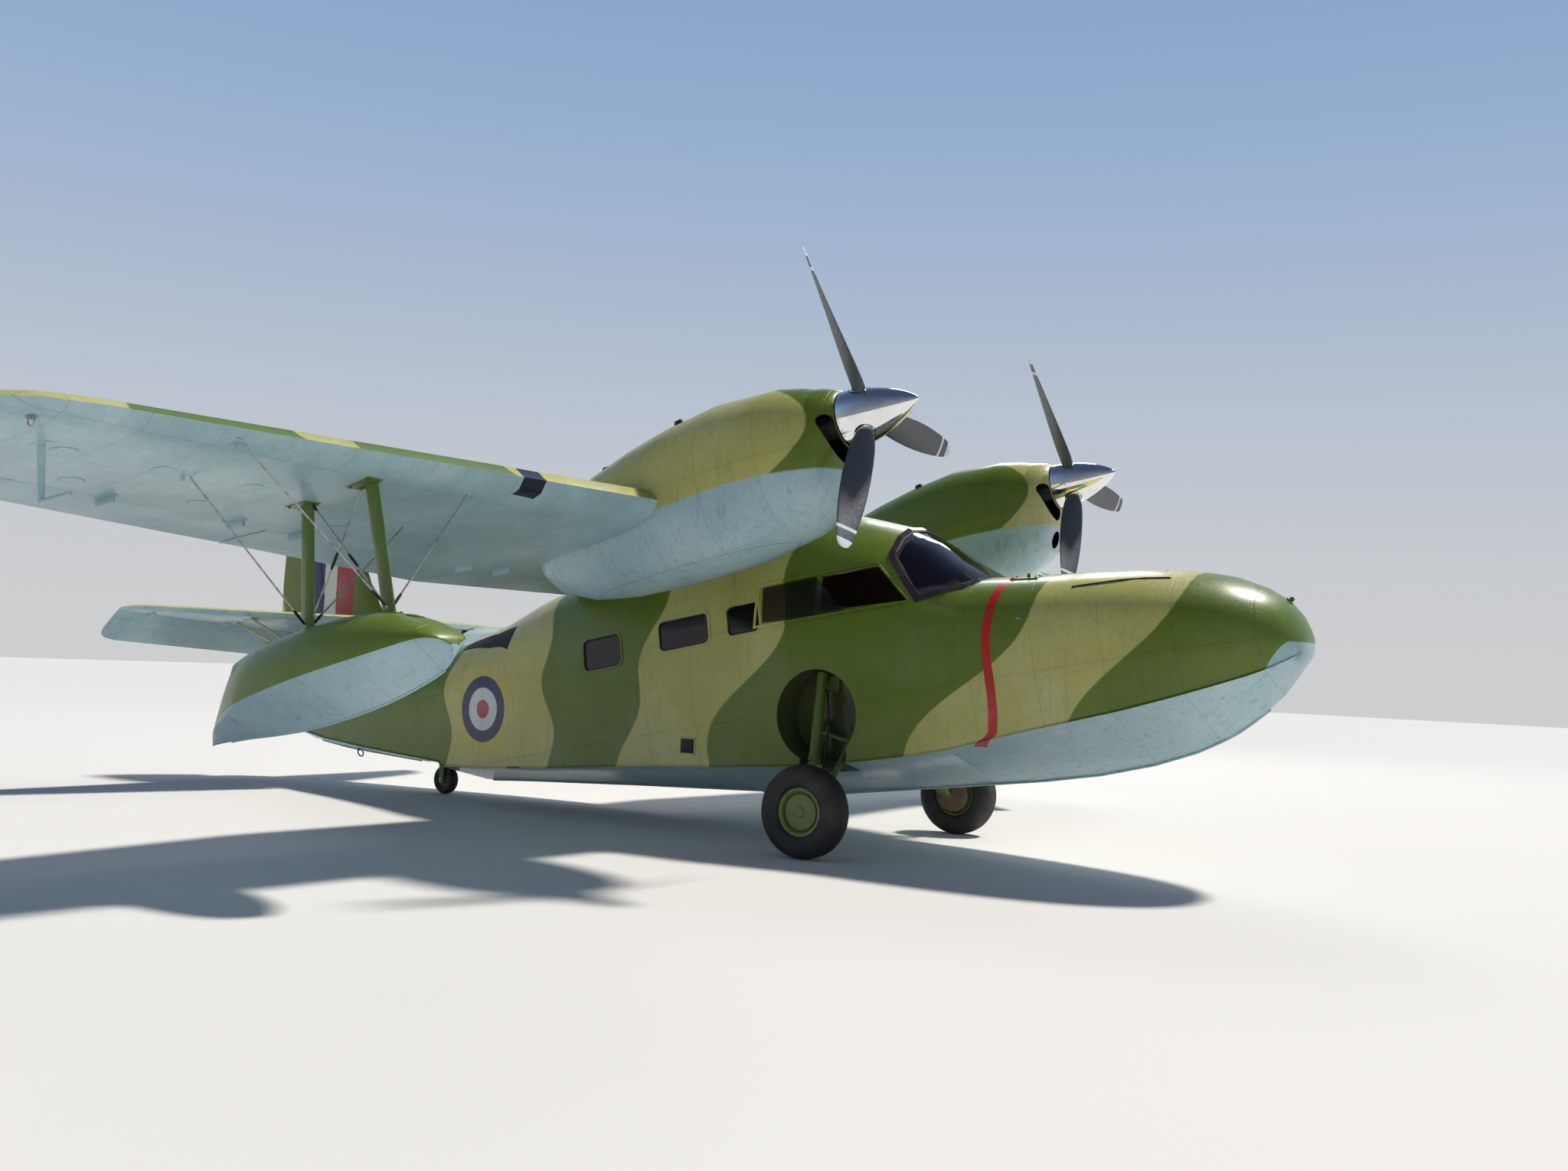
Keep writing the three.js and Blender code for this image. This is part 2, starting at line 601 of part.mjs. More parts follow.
// The starboard pane stands slid back, outside the skin.
const SLID_BACK = 440;
const slidOutline = PILOT_OPENING.map(([x, z]) => [
  x - SLID_BACK * cos(DATUM_TILT),
  z - SLID_BACK * sin(DATUM_TILT),
]);
const slidPaneWith = (grow) =>
  skin(-11 - grow, -4 + grow, 2100, 1100).intersect(portPrism(inset(slidOutline, -grow)));
const paneRails = skin(-16, -GAP, 2350, 1150).intersect(
  join([
    portPrism([[1180, 1492], [2330, 1689], [2330, 1672], [1180, 1475]]),
    portPrism([[1180, 1760], [2066, 1938], [2066, 1955], [1180, 1777]]),
    portPrism([[1180, 1475], [1195, 1475], [1195, 1777], [1180, 1777]]),
  ]),
);
piece("pane_rails_starboard", mirrored(less(paneRails, slidPaneWith(GAP))), GREEN);
piece("pilot_pane_starboard", mirrored(slidPaneWith(0)), GLASS);

// The bow, hollow under its deck hatch, and the tail
const HATCH = { front: 3900, back: 3180, half: 240, thick: 22, ledge: 15 };
const LOCKER = { front: 3960, back: 3120, half: 420, floor: 1150 };
const deckSkin = (outside, inside) => skin(outside, inside, LOCKER.front, LOCKER.back);
const hatchPrism = (grow) =>
  box([HATCH.back - grow, -HATCH.half - grow, 1700], [HATCH.front + grow, HATCH.half + grow, 2100]);
const locker = hullLoft(LOCKER.front, LOCKER.back, WALL).intersect(
  box([LOCKER.back, -LOCKER.half, LOCKER.floor], [LOCKER.front, LOCKER.half, 2000]),
);
const hatchSeat = hatchPrism(DOOR_GAP).intersect(deckSkin(-20, HATCH.thick + GAP));
piece("hull_bow", less(hullLoft(NOSE_X, BOW_X + GAP), locker, hatchSeat, hatchPrism(-HATCH.ledge)), GREEN);
piece("bow_hatch", hatchPrism(0).intersect(deckSkin(0, HATCH.thick)), TAN);

const TAIL_WHEEL = { x: -2455, radius: 121, width: 78, pivotX: -2365 };
const TAIL_WELL = { radius: 262, foot: 100, top: 430 };
const PIVOT = { radius: 22, bore: 23, depth: 16 };
const pivotAt = (z) => [TAIL_WHEEL.pivotX - (z - TAIL_WELL.foot) * Math.tan(rad(DATUM_TILT)), 0, z];
const onPivot = (bottom, top, radius, sides = 20) =>
  rod(pivotAt(bottom), pivotAt(top), radius, radius, sides);
const tailWell = onPivot(TAIL_WELL.foot, TAIL_WELL.top, TAIL_WELL.radius, 24);
const pivotBore = onPivot(TAIL_WELL.top - 5, TAIL_WELL.top + PIVOT.depth, PIVOT.bore);
piece("hull_tail", less(hullLoft(AFT_X - GAP, -4520), tailWell, pivotBore).add(deckPin), GREEN);

// Nacelles, built about the propeller's centre with the shaft along local +X

const HUB = [2498, 1634, 2745];
const thrust = at(...HUB).multiply(new THREE.Matrix4().makeRotationY(-rad(THRUST_TILT)));
const onShaft = (body) => body.transform(thrust.elements);

// local x, top z, bottom z, half-width, squareness
const NACELLE = [
  [-190, 196, -436, 258, 2.3],
  [-222, 224, -480, 300, 2.3],
  [-320, 262, -546, 362, 2.3],
  [-490, 306, -622, 414, 2.3],
  [-900, 338, -680, 448, 2.4],
  [-1270, 302, -692, 451, 2.4],
  [-1600, 245, -688, 436, 2.4],
  [-1944, 168, -672, 398, 2.3],
  [-2200, 70, -630, 336, 2.2],
  [-2420, -62, -545, 236, 2.1],
  [-2550, -190, -430, 120, 2.0],
];
const NACELLE_SIDES = 24;
function nacelleRing(x, wall) {
  const [top, bottom, half, square] = [1, 2, 3, 4].map((k) => read(NACELLE, x, k));
  const mid = (top + bottom) / 2;
  return Array.from({ length: NACELLE_SIDES }, (_, i) => {
    const a = (360 * i) / NACELLE_SIDES;
    const y = Math.sign(cos(a)) * Math.pow(Math.abs(cos(a)), 2 / square) * (half - wall);
    const z = Math.sign(sin(a)) * Math.pow(Math.abs(sin(a)), 2 / square) * ((top - bottom) / 2 - wall);
    return [x, y, mid + z];
  });
}
function nacelleLoft(front, back, wall = 0) {
  const inside = NACELLE.map((row) => row[0]).filter((x) => x < front - 1 && x > back + 1);
  return loft([front, ...inside, back].map((x) => nacelleRing(x, wall)));
}

const COWL_WALL = 18;
const FIREWALL = -1120;
const GEARBOX_RADIUS = 95;
// kidney-shaped air intakes each side of the spinner, and the round one in the chin
const intake = (side) =>
  loft([-150, -260].map((x) =>
    Array.from({ length: 14 }, (_, i) => {
      const a = (360 * i) / 14;
      return [x, side * (205 + 44 * cos(a) - 16 * sin(a) * sin(a)), -40 + 122 * sin(a)];
    }),
  ));
const CHIN = { z: -372, radius: 62 };
const chin = rod([-100, 0, CHIN.z], [-300, 0, CHIN.z], CHIN.radius, CHIN.radius, 16);
const noseHole = rod([-150, 0, 0], [-260, 0, 0], GEARBOX_RADIUS + 12, GEARBOX_RADIUS + 12, 20);
const cowlSpace = nacelleLoft(-212, FIREWALL, COWL_WALL);
const cowl = less(nacelleLoft(-190, -2550), cowlSpace, intake(1), intake(-1), chin, noseHole);
const nacelle = less(onShaft(cowl), wingGrown);

// The engine is one block with its reduction gear's nose.
const ENGINE = { front: -450, back: FIREWALL + GAP, half: 300, top: 130, bottom: -330 };
const engine = onShaft(
  join([
    box([ENGINE.back, -ENGINE.half, ENGINE.bottom], [ENGINE.front, ENGINE.half, ENGINE.top]),
    rod([ENGINE.front - 5, 0, 0], [-158, 0, 0], GEARBOX_RADIUS, GEARBOX_RADIUS - 20, 20),
  ]),
);

// Propeller: radius, chord, thickness, blade angle
const BLADE_TABLE = [
  [120, 78, 74, 52],
  [200, 96, 56, 50],
  [300, 148, 36, 43],
  [520, 184, 23, 33],
  [760, 180, 16, 26],
  [940, 150, 11, 22],
  [1025, 116, 8, 20],
  [1060, 64, 5, 20],
];
const BLADE_TURN = 26; // how far the upper blade leans to starboard
const BLADE_COUNT = 3;
function blade(turn) {
  const radial = [-sin(turn), cos(turn)];
  const ahead = [-cos(turn), -sin(turn)];
  return loft(
    BLADE_TABLE.map(([r, chord, thick, angle]) =>
      Array.from({ length: 10 }, (_, i) => {
        const u = (chord / 2) * cos(36 * i);
        const v = (thick / 2) * sin(36 * i);
        const x = u * sin(angle) + v * cos(angle);
        const along = u * cos(angle) - v * sin(angle);
        return [x, radial[0] * r + ahead[0] * along, radial[1] * r + ahead[1] * along];
      }),
    ),
  );
}
const turns = Array.from({ length: BLADE_COUNT }, (_, i) => BLADE_TURN + (360 * i) / BLADE_COUNT);
const shank = (turn, radius, reach) =>
  rod([0, 0, 0], [0, -sin(turn) * reach, cos(turn) * reach], radius, radius, 10);
const SHANK = { radius: 37, reach: 140, hole: 56, past: 400 };
const hubBody = (grow) => rod([-158 + GAP, 0, 0], [90 + grow, 0, 0], 66 + grow, 60 + grow, 20);
const shanks = turns.map((turn) => shank(turn, SHANK.radius, SHANK.reach));
const propeller = onShaft(join([hubBody(0), ...shanks, ...turns.map(blade)]));

// half profile as [radius, x]
const SPINNER = [
  [0, 372],
  [14, 366],
  [46, 318],
  [84, 236],
  [118, 145],
  [146, 50],
  [164, -50],
  [172, -162],
  [0, -162],
];
const spinnerSolid = fromGeometry(
  new THREE.LatheGeometry(SPINNER.map(([r, x]) => new THREE.Vector2(r, x)), 24),
  new THREE.Matrix4().makeRotationZ(-Math.PI / 2),
);
const backplateHollow = rod([-200, 0, 0], [-120, 0, 0], 140, 140, 20);
const shankHoles = turns.map((turn) => shank(turn, SHANK.hole, SHANK.past));
const spinner = onShaft(less(spinnerSolid, hubBody(GAP), backplateHollow, ...shankHoles));

// Both propellers turn the same way, so the port one is a moved copy and not a mirrored one.
const across = at(0, -2 * HUB[1], 0).elements;
for (const [side, turn] of SIDES) {
  piece("nacelle_" + side, turn(nacelle), side === "port" ? GREEN : TAN);
  piece("engine_" + side, turn(engine), STEEL);
  const moved = (body) => (side === "port" ? body : body.transform(across));
  piece("propeller_" + side, moved(propeller), BLADE);
  piece("spinner_" + side, moved(spinner), CHROME);
}

// Wing floats

const FLOAT_Y = 4050;
// x, keel z, chine z, chine half-width, deck z, squareness of the deck's curve
const FLOAT = [
  [1640, 1212, 1240, 22, 1262, 2.0],
  [1612, 1176, 1252, 96, 1306, 2.0],
  [1540, 1128, 1248, 168, 1352, 2.1],
  [1400, 1060, 1222, 232, 1394, 2.2],
  [1200, 965, 1168, 272, 1413, 2.2],
  [950, 876, 1098, 290, 1390, 2.2],
  [650, 797, 1010, 288, 1325, 2.2],
  [380, 744, 925, 268, 1252, 2.2],
  [120, 696, 836, 236, 1170, 2.2],
  [-20, 668, 780, 214, 1105, 2.2],
];
const TRANSOM_RAKE = 0.3;
function floatRing([x, keel, chineZ, half, deck, square], index, grow = 0) {
  const side = [[0, keel - grow], [half + 8 + grow, chineZ], [half + grow, chineZ + 12]];
  for (let i = 1; i <= 6; i++) {
    const a = 15 * i;
    side.push([
      i === 6 ? 0 : (half + grow) * Math.pow(cos(a), 2 / square),
      chineZ + (deck + grow - chineZ) * Math.pow(sin(a), 2 / square),
    ]);
  }
  const raked = (z) => (index === FLOAT.length - 1 ? x - (deck - z) * TRANSOM_RAKE : x);
  const ring = [...side, ...side.slice(1, -1).reverse().map(([y, z]) => [-y, z])];
  return ring.map(([y, z]) => [raked(z), FLOAT_Y + y, z]);
}
const floatLoft = (grow = 0) => loft(FLOAT.map((row, index) => floatRing(row, index, grow)));

// Its two struts, the wires that cross between them and the stays out to the wing are one rigged node.
const STRUT_FRONT = { foot: [1175, FLOAT_Y, 1400], head: [965, FLOAT_Y, 2150] };
const STRUT_REAR = { foot: [565, FLOAT_Y, 1290], head: [500, FLOAT_Y, 2010] };
const WIRE = 5;
const stays = [
  [STRUT_FRONT.foot, STRUT_REAR.head],
  [STRUT_REAR.foot, STRUT_FRONT.head],
  [STRUT_FRONT.foot, [1080, 4950, 2178]],
  [STRUT_FRONT.foot, [1070, 3420, 2130]],
  [STRUT_REAR.foot, [600, 4880, 2055]],
  [STRUT_REAR.foot, [440, 3290, 1960]],
].map(([foot, head]) => rod([foot[0], foot[1], foot[2] + 25], head, WIRE, WIRE, 6));
const floatStruts = less(
  join([
    strut(STRUT_FRONT.foot, STRUT_FRONT.head, 92, 40),
    strut(STRUT_REAR.foot, STRUT_REAR.head, 92, 40),
    ...stays,
  ]),
  wing.loft(PANEL_Y, TIP_Y, GAP),
  floatLoft(GAP),
);
for (const [side, turn] of SIDES) {
  piece("float_" + side, turn(floatLoft()), GREEN);
  piece("float_struts_" + side, turn(floatStruts), GREEN);
}

// Main landing gear

const MAIN = { x: 1875, y: 1115, radius: 300, width: 190, axle: 25, bore: 28 };
// The leg: an upright shock strut on a plate in the well, a knee, a slanting arm to the axle and a side link
const PLATE = 26;
const LEG = { x: 1652, y: 600, top: 1190, sleeve: 860, trunnion: 1150, knee: [1665, 690, 560] };
const LINK = { x: 1880, y: 585, z: 737, radius: 20, brace: 14 };
const AXLE_FOOT = [MAIN.x, 950, MAIN.radius];
const pad = (x0, x1, z0, z1) => box([x0, WELL.inner + GAP, z0], [x1, WELL.inner + PLATE, z1]);
const mainLeg = join([
  pad(LEG.x - 62, LEG.x + 93, 1060, 1170),
  rod([LEG.x, WELL.inner + 20, LEG.trunnion], [LEG.x, LEG.y, LEG.trunnion], 30),
  rod([LEG.x, LEG.y, LEG.top], LEG.knee, 36),
  rod([LEG.x, LEG.y, LEG.sleeve], LEG.knee, 44),
  rod([LEG.knee[0], LEG.knee[1], LEG.knee[2] - 20], AXLE_FOOT, 34, 30),
  rod([MAIN.x, 925, MAIN.radius], [MAIN.x, MAIN.y + 62, MAIN.radius], MAIN.axle, MAIN.axle, 24),
  pad(LINK.x - 50, LINK.x + 35, 700, 800),
  rod([LINK.x, WELL.inner + 20, LINK.z], [LINK.x, LINK.y + 5, LINK.z], LINK.radius),
  rod([LINK.x, LINK.y - 5, LINK.z], AXLE_FOOT, LINK.radius),
  rod([LINK.x, LINK.y - 5, LINK.z], [LEG.x, LEG.y + 45, LEG.sleeve - 60], LINK.brace),
]);
// half profiles as [radius, y] round the axle
const TYRE_BEAD = 158;
const tyreProfile = (radius, bead, width) => [
  [bead, -width * 0.36],
  [bead + (radius - bead) * 0.3, -width * 0.48],
  [bead + (radius - bead) * 0.62, -width * 0.5],
  [radius * 0.965, -width * 0.38],
  [radius, -width * 0.2],
  [radius, width * 0.2],
  [radius * 0.965, width * 0.38],
  [bead + (radius - bead) * 0.62, width * 0.5],
  [bead + (radius - bead) * 0.3, width * 0.48],
  [bead, width * 0.36],
  [bead, -width * 0.36],
];
// A wheel's hub with a blind bore from the inboard side, closed by a cap outboard.
const hubProfile = (rim, bore, depth, half) => [
  [0, half * 0.97],
  [rim * 0.34, half * 0.97],
  [rim * 0.4, half * 0.5],
  [rim * 0.86, half * 0.42],
  [rim * 0.9, half],
  [rim, half],
  [rim, -half],
  [rim * 0.9, -half],
  [rim * 0.86, -half * 0.4],
  [bore * 1.9, -half * 0.55],
  [bore, -half * 0.55],
  [bore, depth],
  [0, depth],
];
const WHEEL_SIDES = 30;
const mainPlace = [MAIN.x, MAIN.y, MAIN.radius];
const mainTyre = turned(tyreProfile(MAIN.radius, TYRE_BEAD, MAIN.width), mainPlace, WHEEL_SIDES);
const mainHub = turned(hubProfile(TYRE_BEAD - GAP, MAIN.bore, 62 + GAP, 72), mainPlace, WHEEL_SIDES);
for (const [side, turn] of SIDES) {
  piece("main_leg_" + side, turn(mainLeg), GREEN);
  piece("main_hub_" + side, turn(mainHub), GREEN);
  piece("main_tyre_" + side, turn(mainTyre), RUBBER);
}

// Tail wheel: a fork that casters about a leaning pivot in the hull's well

const TAIL_AXLE = 12;
const TAIL_BORE = 12.5;
const FORK = { outer: 62, inner: 50, foot: 96, crown: 255, thick: 30, arm: 28 };
const tailPlace = [TAIL_WHEEL.x, 0, TAIL_WHEEL.radius];
const axleEnd = (y) => [TAIL_WHEEL.x, y, TAIL_WHEEL.radius];
const forkArm = box(
  [TAIL_WHEEL.x - FORK.arm, FORK.inner, FORK.foot],
  [TAIL_WHEEL.x + FORK.arm, FORK.outer, FORK.crown + 7],
);
const forkBody = join([
  onPivot(FORK.crown + 13, TAIL_WELL.top + PIVOT.depth - GAP, PIVOT.radius),
  box(
    [TAIL_WHEEL.x - 30, -FORK.outer, FORK.crown],
    [TAIL_WHEEL.pivotX + 35, FORK.outer, FORK.crown + FORK.thick],
  ),
  bothSides(forkArm),
  rod(axleEnd(4 - FORK.outer), axleEnd(FORK.outer - 4), TAIL_AXLE, TAIL_AXLE, 24),
]);
piece("tail_fork", forkBody, GREEN);
const TAIL_SIDES = 24;
const TAIL_BEAD = 62;
const tailTyre = turned(tyreProfile(TAIL_WHEEL.radius, TAIL_BEAD, TAIL_WHEEL.width), tailPlace, TAIL_SIDES);
piece("tail_tyre", tailTyre, RUBBER);
// outboard half of the hub, as [radius, y]
const tailHubHalf = [
  [TAIL_BEAD - GAP, 26],
  [50, 26],
  [44, 16],
  [24, 30],
  [TAIL_BORE, 30],
];
const tailHubBack = [...tailHubHalf].reverse().map(([radius, y]) => [radius, -y]);
const tailHubRing = [...tailHubBack, ...tailHubHalf];
piece("tail_hub", turned([...tailHubRing, tailHubRing[0]], tailPlace, TAIL_SIDES), GREEN);

// Cabin fittings that show through the glass

const [slabFront, slabBack] = [3000, -1500];
const floorSlab = prismY(
  [
    [slabFront, floorZ(slabFront) + GAP],
    [slabFront, 0],
    [slabBack, 0],
    [slabBack, floorZ(slabBack) + GAP],
  ],
  -HALF_OUT,
  HALF_OUT,
);
// Heights above the floor: the base, then the cushion's bottom and top, then the back's top
const SEAT = { half: 230, base: 80, bottom: 60, top: 330, back: 800, inset: 40, width: 400 };
const BENCH_WIDTH = 900;
const SEAT_AT = { x: 1780, y: 235 };
function seat(x, y, width) {
  const z = floorZ(x);
  const [left, right] = [y - width / 2, y + width / 2];
  const back = [
    [x - SEAT.half, z + SEAT.top - 130],
    [x - SEAT.half + 120, z + SEAT.top - 130],
    [x - SEAT.half + 40, z + SEAT.back],
    [x - SEAT.half - 60, z + SEAT.back],
  ];
  const standing = join([
    box([x - SEAT.half, left, z + SEAT.bottom], [x + SEAT.half, right, z + SEAT.top]),
    prismY(back, left, right),
    box(
      [x - SEAT.half + 50, left + SEAT.inset, z - 20],
      [x + SEAT.half - 50, right - SEAT.inset, z + SEAT.base],
    ),
  ]);
  return less(standing, floorSlab);
}
piece("pilot_seat", seat(SEAT_AT.x, SEAT_AT.y, SEAT.width), HIDE);
piece("copilot_seat", seat(SEAT_AT.x, -SEAT_AT.y, SEAT.width), HIDE);
piece("cabin_bench", seat(-250, -50, BENCH_WIDTH), HIDE);

const PANEL = { x: 2400, thick: 40, half: 560, top: 1745, bottom: 1330 };
const instrumentPanel = box(
  [PANEL.x, -PANEL.half, PANEL.bottom],
  [PANEL.x + PANEL.thick, PANEL.half, PANEL.top],
).intersect(hullLoft(PANEL.x + 60, PANEL.x - 20, WALL + 2));
const PEDESTAL = { back: 2320, front: 2430, half: 90, bottom: 700 };
const pedestal = less(
  box([PEDESTAL.back, -PEDESTAL.half, PEDESTAL.bottom], [PEDESTAL.front, PEDESTAL.half, PANEL.bottom + 30]),
  floorSlab,
);
piece("instrument_panel", join([instrumentPanel, pedestal]), DARK);
const YOKE = { x: 2170, z: 1500, radius: 125, rim: 13, lean: 20, foot: 2290 };
const wheelRing = fromGeometry(
  new THREE.TorusGeometry(YOKE.radius, YOKE.rim, 8, 20),
  at(YOKE.x, SEAT_AT.y, YOKE.z).multiply(new THREE.Matrix4().makeRotationY(rad(90 - YOKE.lean))),
);
const columnAt = (height) => [YOKE.foot, SEAT_AT.y, floorZ(YOKE.foot) + height];
const yoke = less(
  join([
    wheelRing,
    box(
      [YOKE.x - 15, SEAT_AT.y - YOKE.radius, YOKE.z - 12],
      [YOKE.x + 15, SEAT_AT.y + YOKE.radius, YOKE.z + 12],
    ),
    rod([YOKE.x - 5, SEAT_AT.y, YOKE.z], columnAt(10), 20),
    rod(columnAt(60), columnAt(-20), 50),
  ]),
  floorSlab,
);
piece("control_yoke", yoke, DARK);

export default model;
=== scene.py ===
from math import atan2, cos, hypot, pi, radians, sin

import bmesh
import bpy
from mathutils import Matrix, Vector
from mathutils.bvhtree import BVHTree


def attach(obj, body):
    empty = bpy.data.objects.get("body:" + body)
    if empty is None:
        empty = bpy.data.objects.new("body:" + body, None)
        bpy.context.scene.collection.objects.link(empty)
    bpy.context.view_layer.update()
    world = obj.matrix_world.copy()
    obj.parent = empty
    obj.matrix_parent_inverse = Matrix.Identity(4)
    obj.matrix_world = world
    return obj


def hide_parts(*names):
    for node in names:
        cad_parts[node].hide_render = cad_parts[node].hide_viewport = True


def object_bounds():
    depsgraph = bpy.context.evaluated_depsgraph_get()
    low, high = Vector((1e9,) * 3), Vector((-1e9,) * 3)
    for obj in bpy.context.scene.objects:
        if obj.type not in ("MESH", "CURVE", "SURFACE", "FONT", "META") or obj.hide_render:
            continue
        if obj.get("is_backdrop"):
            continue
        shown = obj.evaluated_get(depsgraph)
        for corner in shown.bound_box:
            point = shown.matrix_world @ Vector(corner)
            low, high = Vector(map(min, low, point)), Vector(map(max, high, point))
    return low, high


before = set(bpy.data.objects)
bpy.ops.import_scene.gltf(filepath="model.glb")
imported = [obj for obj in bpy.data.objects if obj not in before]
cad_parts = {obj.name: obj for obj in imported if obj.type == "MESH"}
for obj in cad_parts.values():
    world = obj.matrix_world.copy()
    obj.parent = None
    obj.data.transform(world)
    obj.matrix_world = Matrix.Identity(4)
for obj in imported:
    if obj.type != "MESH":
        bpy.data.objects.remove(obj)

cad_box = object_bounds()
STARBOARD, PORT = -1, 1
SIDE_NAMES = {PORT: "port", STARBOARD: "starboard"}

# The view: a standing onlooker's camera off the starboard bow, a pale floor,
# a high lamp on the port side, a wide one further aft, and a pale sky all round.
CAMERA_AT = Vector((6.92, -9.29, 1.241))
YAW, PITCH, ROLL = radians(32.845), radians(3.019), radians(2.493)
FOCAL_PIXELS, PICTURE_PIXELS = 1941.6, 2048
ahead = Vector((-sin(YAW) * cos(PITCH), cos(YAW) * cos(PITCH), sin(PITCH)))
level = Vector((cos(YAW), sin(YAW), 0))
above = level.cross(ahead)
right = level * cos(ROLL) + above * sin(ROLL)
upward = above * cos(ROLL) - level * sin(ROLL)
lens = bpy.data.cameras.new("onlooker")
lens.sensor_width = 36
lens.lens = FOCAL_PIXELS * lens.sensor_width / PICTURE_PIXELS
lens.clip_end = 400
camera = bpy.data.objects.new("onlooker", lens)
camera.matrix_world = Matrix((
    (right.x, upward.x, -ahead.x, CAMERA_AT.x),
    (right.y, upward.y, -ahead.y, CAMERA_AT.y),
    (right.z, upward.z, -ahead.z, CAMERA_AT.z),
    (0, 0, 0, 1),
))
bpy.context.scene.collection.objects.link(camera)
bpy.context.scene.camera = camera
bpy.context.scene.view_settings.view_transform = "Standard"


def feed(tree, made, inputs):
    """A shader node's inputs, each given as a value or as a socket."""
    for key, value in dict(inputs).items():
        if isinstance(value, bpy.types.NodeSocket):
            tree.links.new(value, made.inputs[key])
        else:
            made.inputs[key].default_value = value


def node(tree, kind, inputs=(), **settings):
    """One shader node with its settings and its inputs."""
    made = tree.nodes.new("ShaderNode" + kind)
    for name, value in settings.items():
        setattr(made, name, value)
    feed(tree, made, inputs)
    return made


def calc(tree, operation, *values, clamp=False):
    """One step of arithmetic between sockets and numbers."""
    return node(tree, "Math", enumerate(values), operation=operation, use_clamp=clamp).outputs[0]


def mixed(tree, share, first, second):
    """The second colour over the first, by a share from 0 to 1."""
    inputs = {0: share, 6: first, 7: second}
    return node(tree, "Mix", inputs, data_type="RGBA").outputs[2]


def ramp(tree, value, low, high, start=0.0, end=1.0):
    """Value's way from low to high, eased at both ends."""
    inputs = {0: value, 1: low, 2: high, 3: start, 4: end}
    return node(tree, "MapRange", inputs, interpolation_type="SMOOTHSTEP").outputs[0]


def material(name):
    """A material with its shader and its object coordinates."""
    made = bpy.data.materials.new(name)
    made.use_nodes = True
    tree = made.node_tree
    tree.nodes.clear()
    shader = node(tree, "BsdfPrincipled")
    tree.links.new(shader.outputs[0], node(tree, "OutputMaterial").inputs[0])
    place = node(tree, "TexCoord").outputs["Object"]
    return made, tree, shader, place


FLOOR_HALF = 60
floor_mesh = bmesh.new()
bmesh.ops.create_grid(floor_mesh, x_segments=1, y_segments=1, size=FLOOR_HALF)
floor_data = bpy.data.meshes.new("floor")
floor_mesh.to_mesh(floor_data)
floor = bpy.data.objects.new("floor", floor_data)
bpy.context.scene.collection.objects.link(floor)
floor_paint, tree, shader, place = material("pale floor")
feed(tree, shader, {"Base Color": (0.66, 0.64, 0.61, 1), "Roughness": 0.9})
floor_data.materials.append(floor_paint)
floor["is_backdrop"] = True

world = bpy.data.worlds.new("sky")
bpy.context.scene.world = world
world.use_nodes = True
sky_tree = world.node_tree
sky_tree.nodes.clear()
toward = node(sky_tree, "TexCoord").outputs["Generated"]
height = node(sky_tree, "SeparateXYZ", {0: toward}).outputs[2]
low_sky = mixed(sky_tree, ramp(sky_tree, height, -0.02, 0.42), (0.93, 0.94, 0.95, 1), (0.42, 0.62, 0.95, 1))
high_sky = mixed(sky_tree, ramp(sky_tree, height, 0.3, 0.95), low_sky, (0.075, 0.115, 0.23, 1))
# the room behind the camera is darker, which keeps the paint's sides deep
behind = node(sky_tree, "VectorMath", {0: toward, 1: -ahead}, operation="DOT_PRODUCT").outputs[1]
sky_colour = mixed(sky_tree, ramp(sky_tree, behind, 0.1, 0.75, 0.0, 0.62), high_sky, (0.10, 0.10, 0.10, 1))
sky_light = node(sky_tree, "Background", {0: sky_colour, 1: 0.66})
sky_tree.links.new(sky_light.outputs[0], node(sky_tree, "OutputWorld").inputs[0])

lamp_data = bpy.data.lights.new("high lamp", "SUN")
lamp_data.energy = 4.3
lamp_data.angle = radians(5)
lamp_data.color = (1.0, 0.96, 0.89)
lamp = bpy.data.objects.new("high lamp", lamp_data)
lamp.rotation_euler = Vector((0.25, 0.62, 1.0)).to_track_quat("Z", "Y").to_euler()
bpy.context.scene.collection.objects.link(lamp)

rim_data = bpy.data.lights.new("rim lamp", "AREA")
rim_data.size = 4.0
rim_data.energy = 480
rim_data.color = (1.0, 0.98, 0.94)
rim_lamp = bpy.data.objects.new("rim lamp", rim_data)
rim_lamp.location = (-3.4, 13.6, 11.5)
rim_lamp.rotation_euler = (rim_lamp.location - Vector((1.5, 0, 2))).to_track_quat("Z", "Y").to_euler()
rim_lamp.visible_camera = False
bpy.context.scene.collection.objects.link(rim_lamp)


# The hull: riveted aluminium sheet over frames, painted in wavy bands of green
# and tan above the chine and pale blue below it. Bow, cabin and tail are one
# riveted shell, and the bands run on across them.
GREEN = (0.114, 0.178, 0.008, 1)
TAN = (0.480, 0.465, 0.140, 1)
SKY_BLUE = (0.345, 0.520, 0.570, 1)
DATUM_TILT = radians(11)


def shader_group(name, inputs, outputs):
    """An empty node group with named sockets, and its two end nodes."""
    tree = bpy.data.node_groups.new(name, "ShaderNodeTree")
    for socket, (kind, value) in inputs.items():
        made = tree.interface.new_socket(socket, in_out="INPUT", socket_type="NodeSocket" + kind)
        if value is not None:
            made.default_value = value
    for socket, kind in outputs.items():
        tree.interface.new_socket(socket, in_out="OUTPUT", socket_type="NodeSocket" + kind)
    start, end = tree.nodes.new("NodeGroupInput"), tree.nodes.new("NodeGroupOutput")
    return tree, start.outputs, end.inputs


# Painted sheet metal: large faded patches, fine mottling, rain streaks, grime
# in the streaks and a slight unevenness of the sheet.
paint_group, given, result = shader_group(
    "weathered paint",
    {"Place": ("Vector", None), "Paint": ("Color", None),
     "Fading": ("Float", 0.5), "Streaks": ("Float", 0.5)},
    {"Color": "Color", "Roughness": "Float", "Height": "Float"},
)


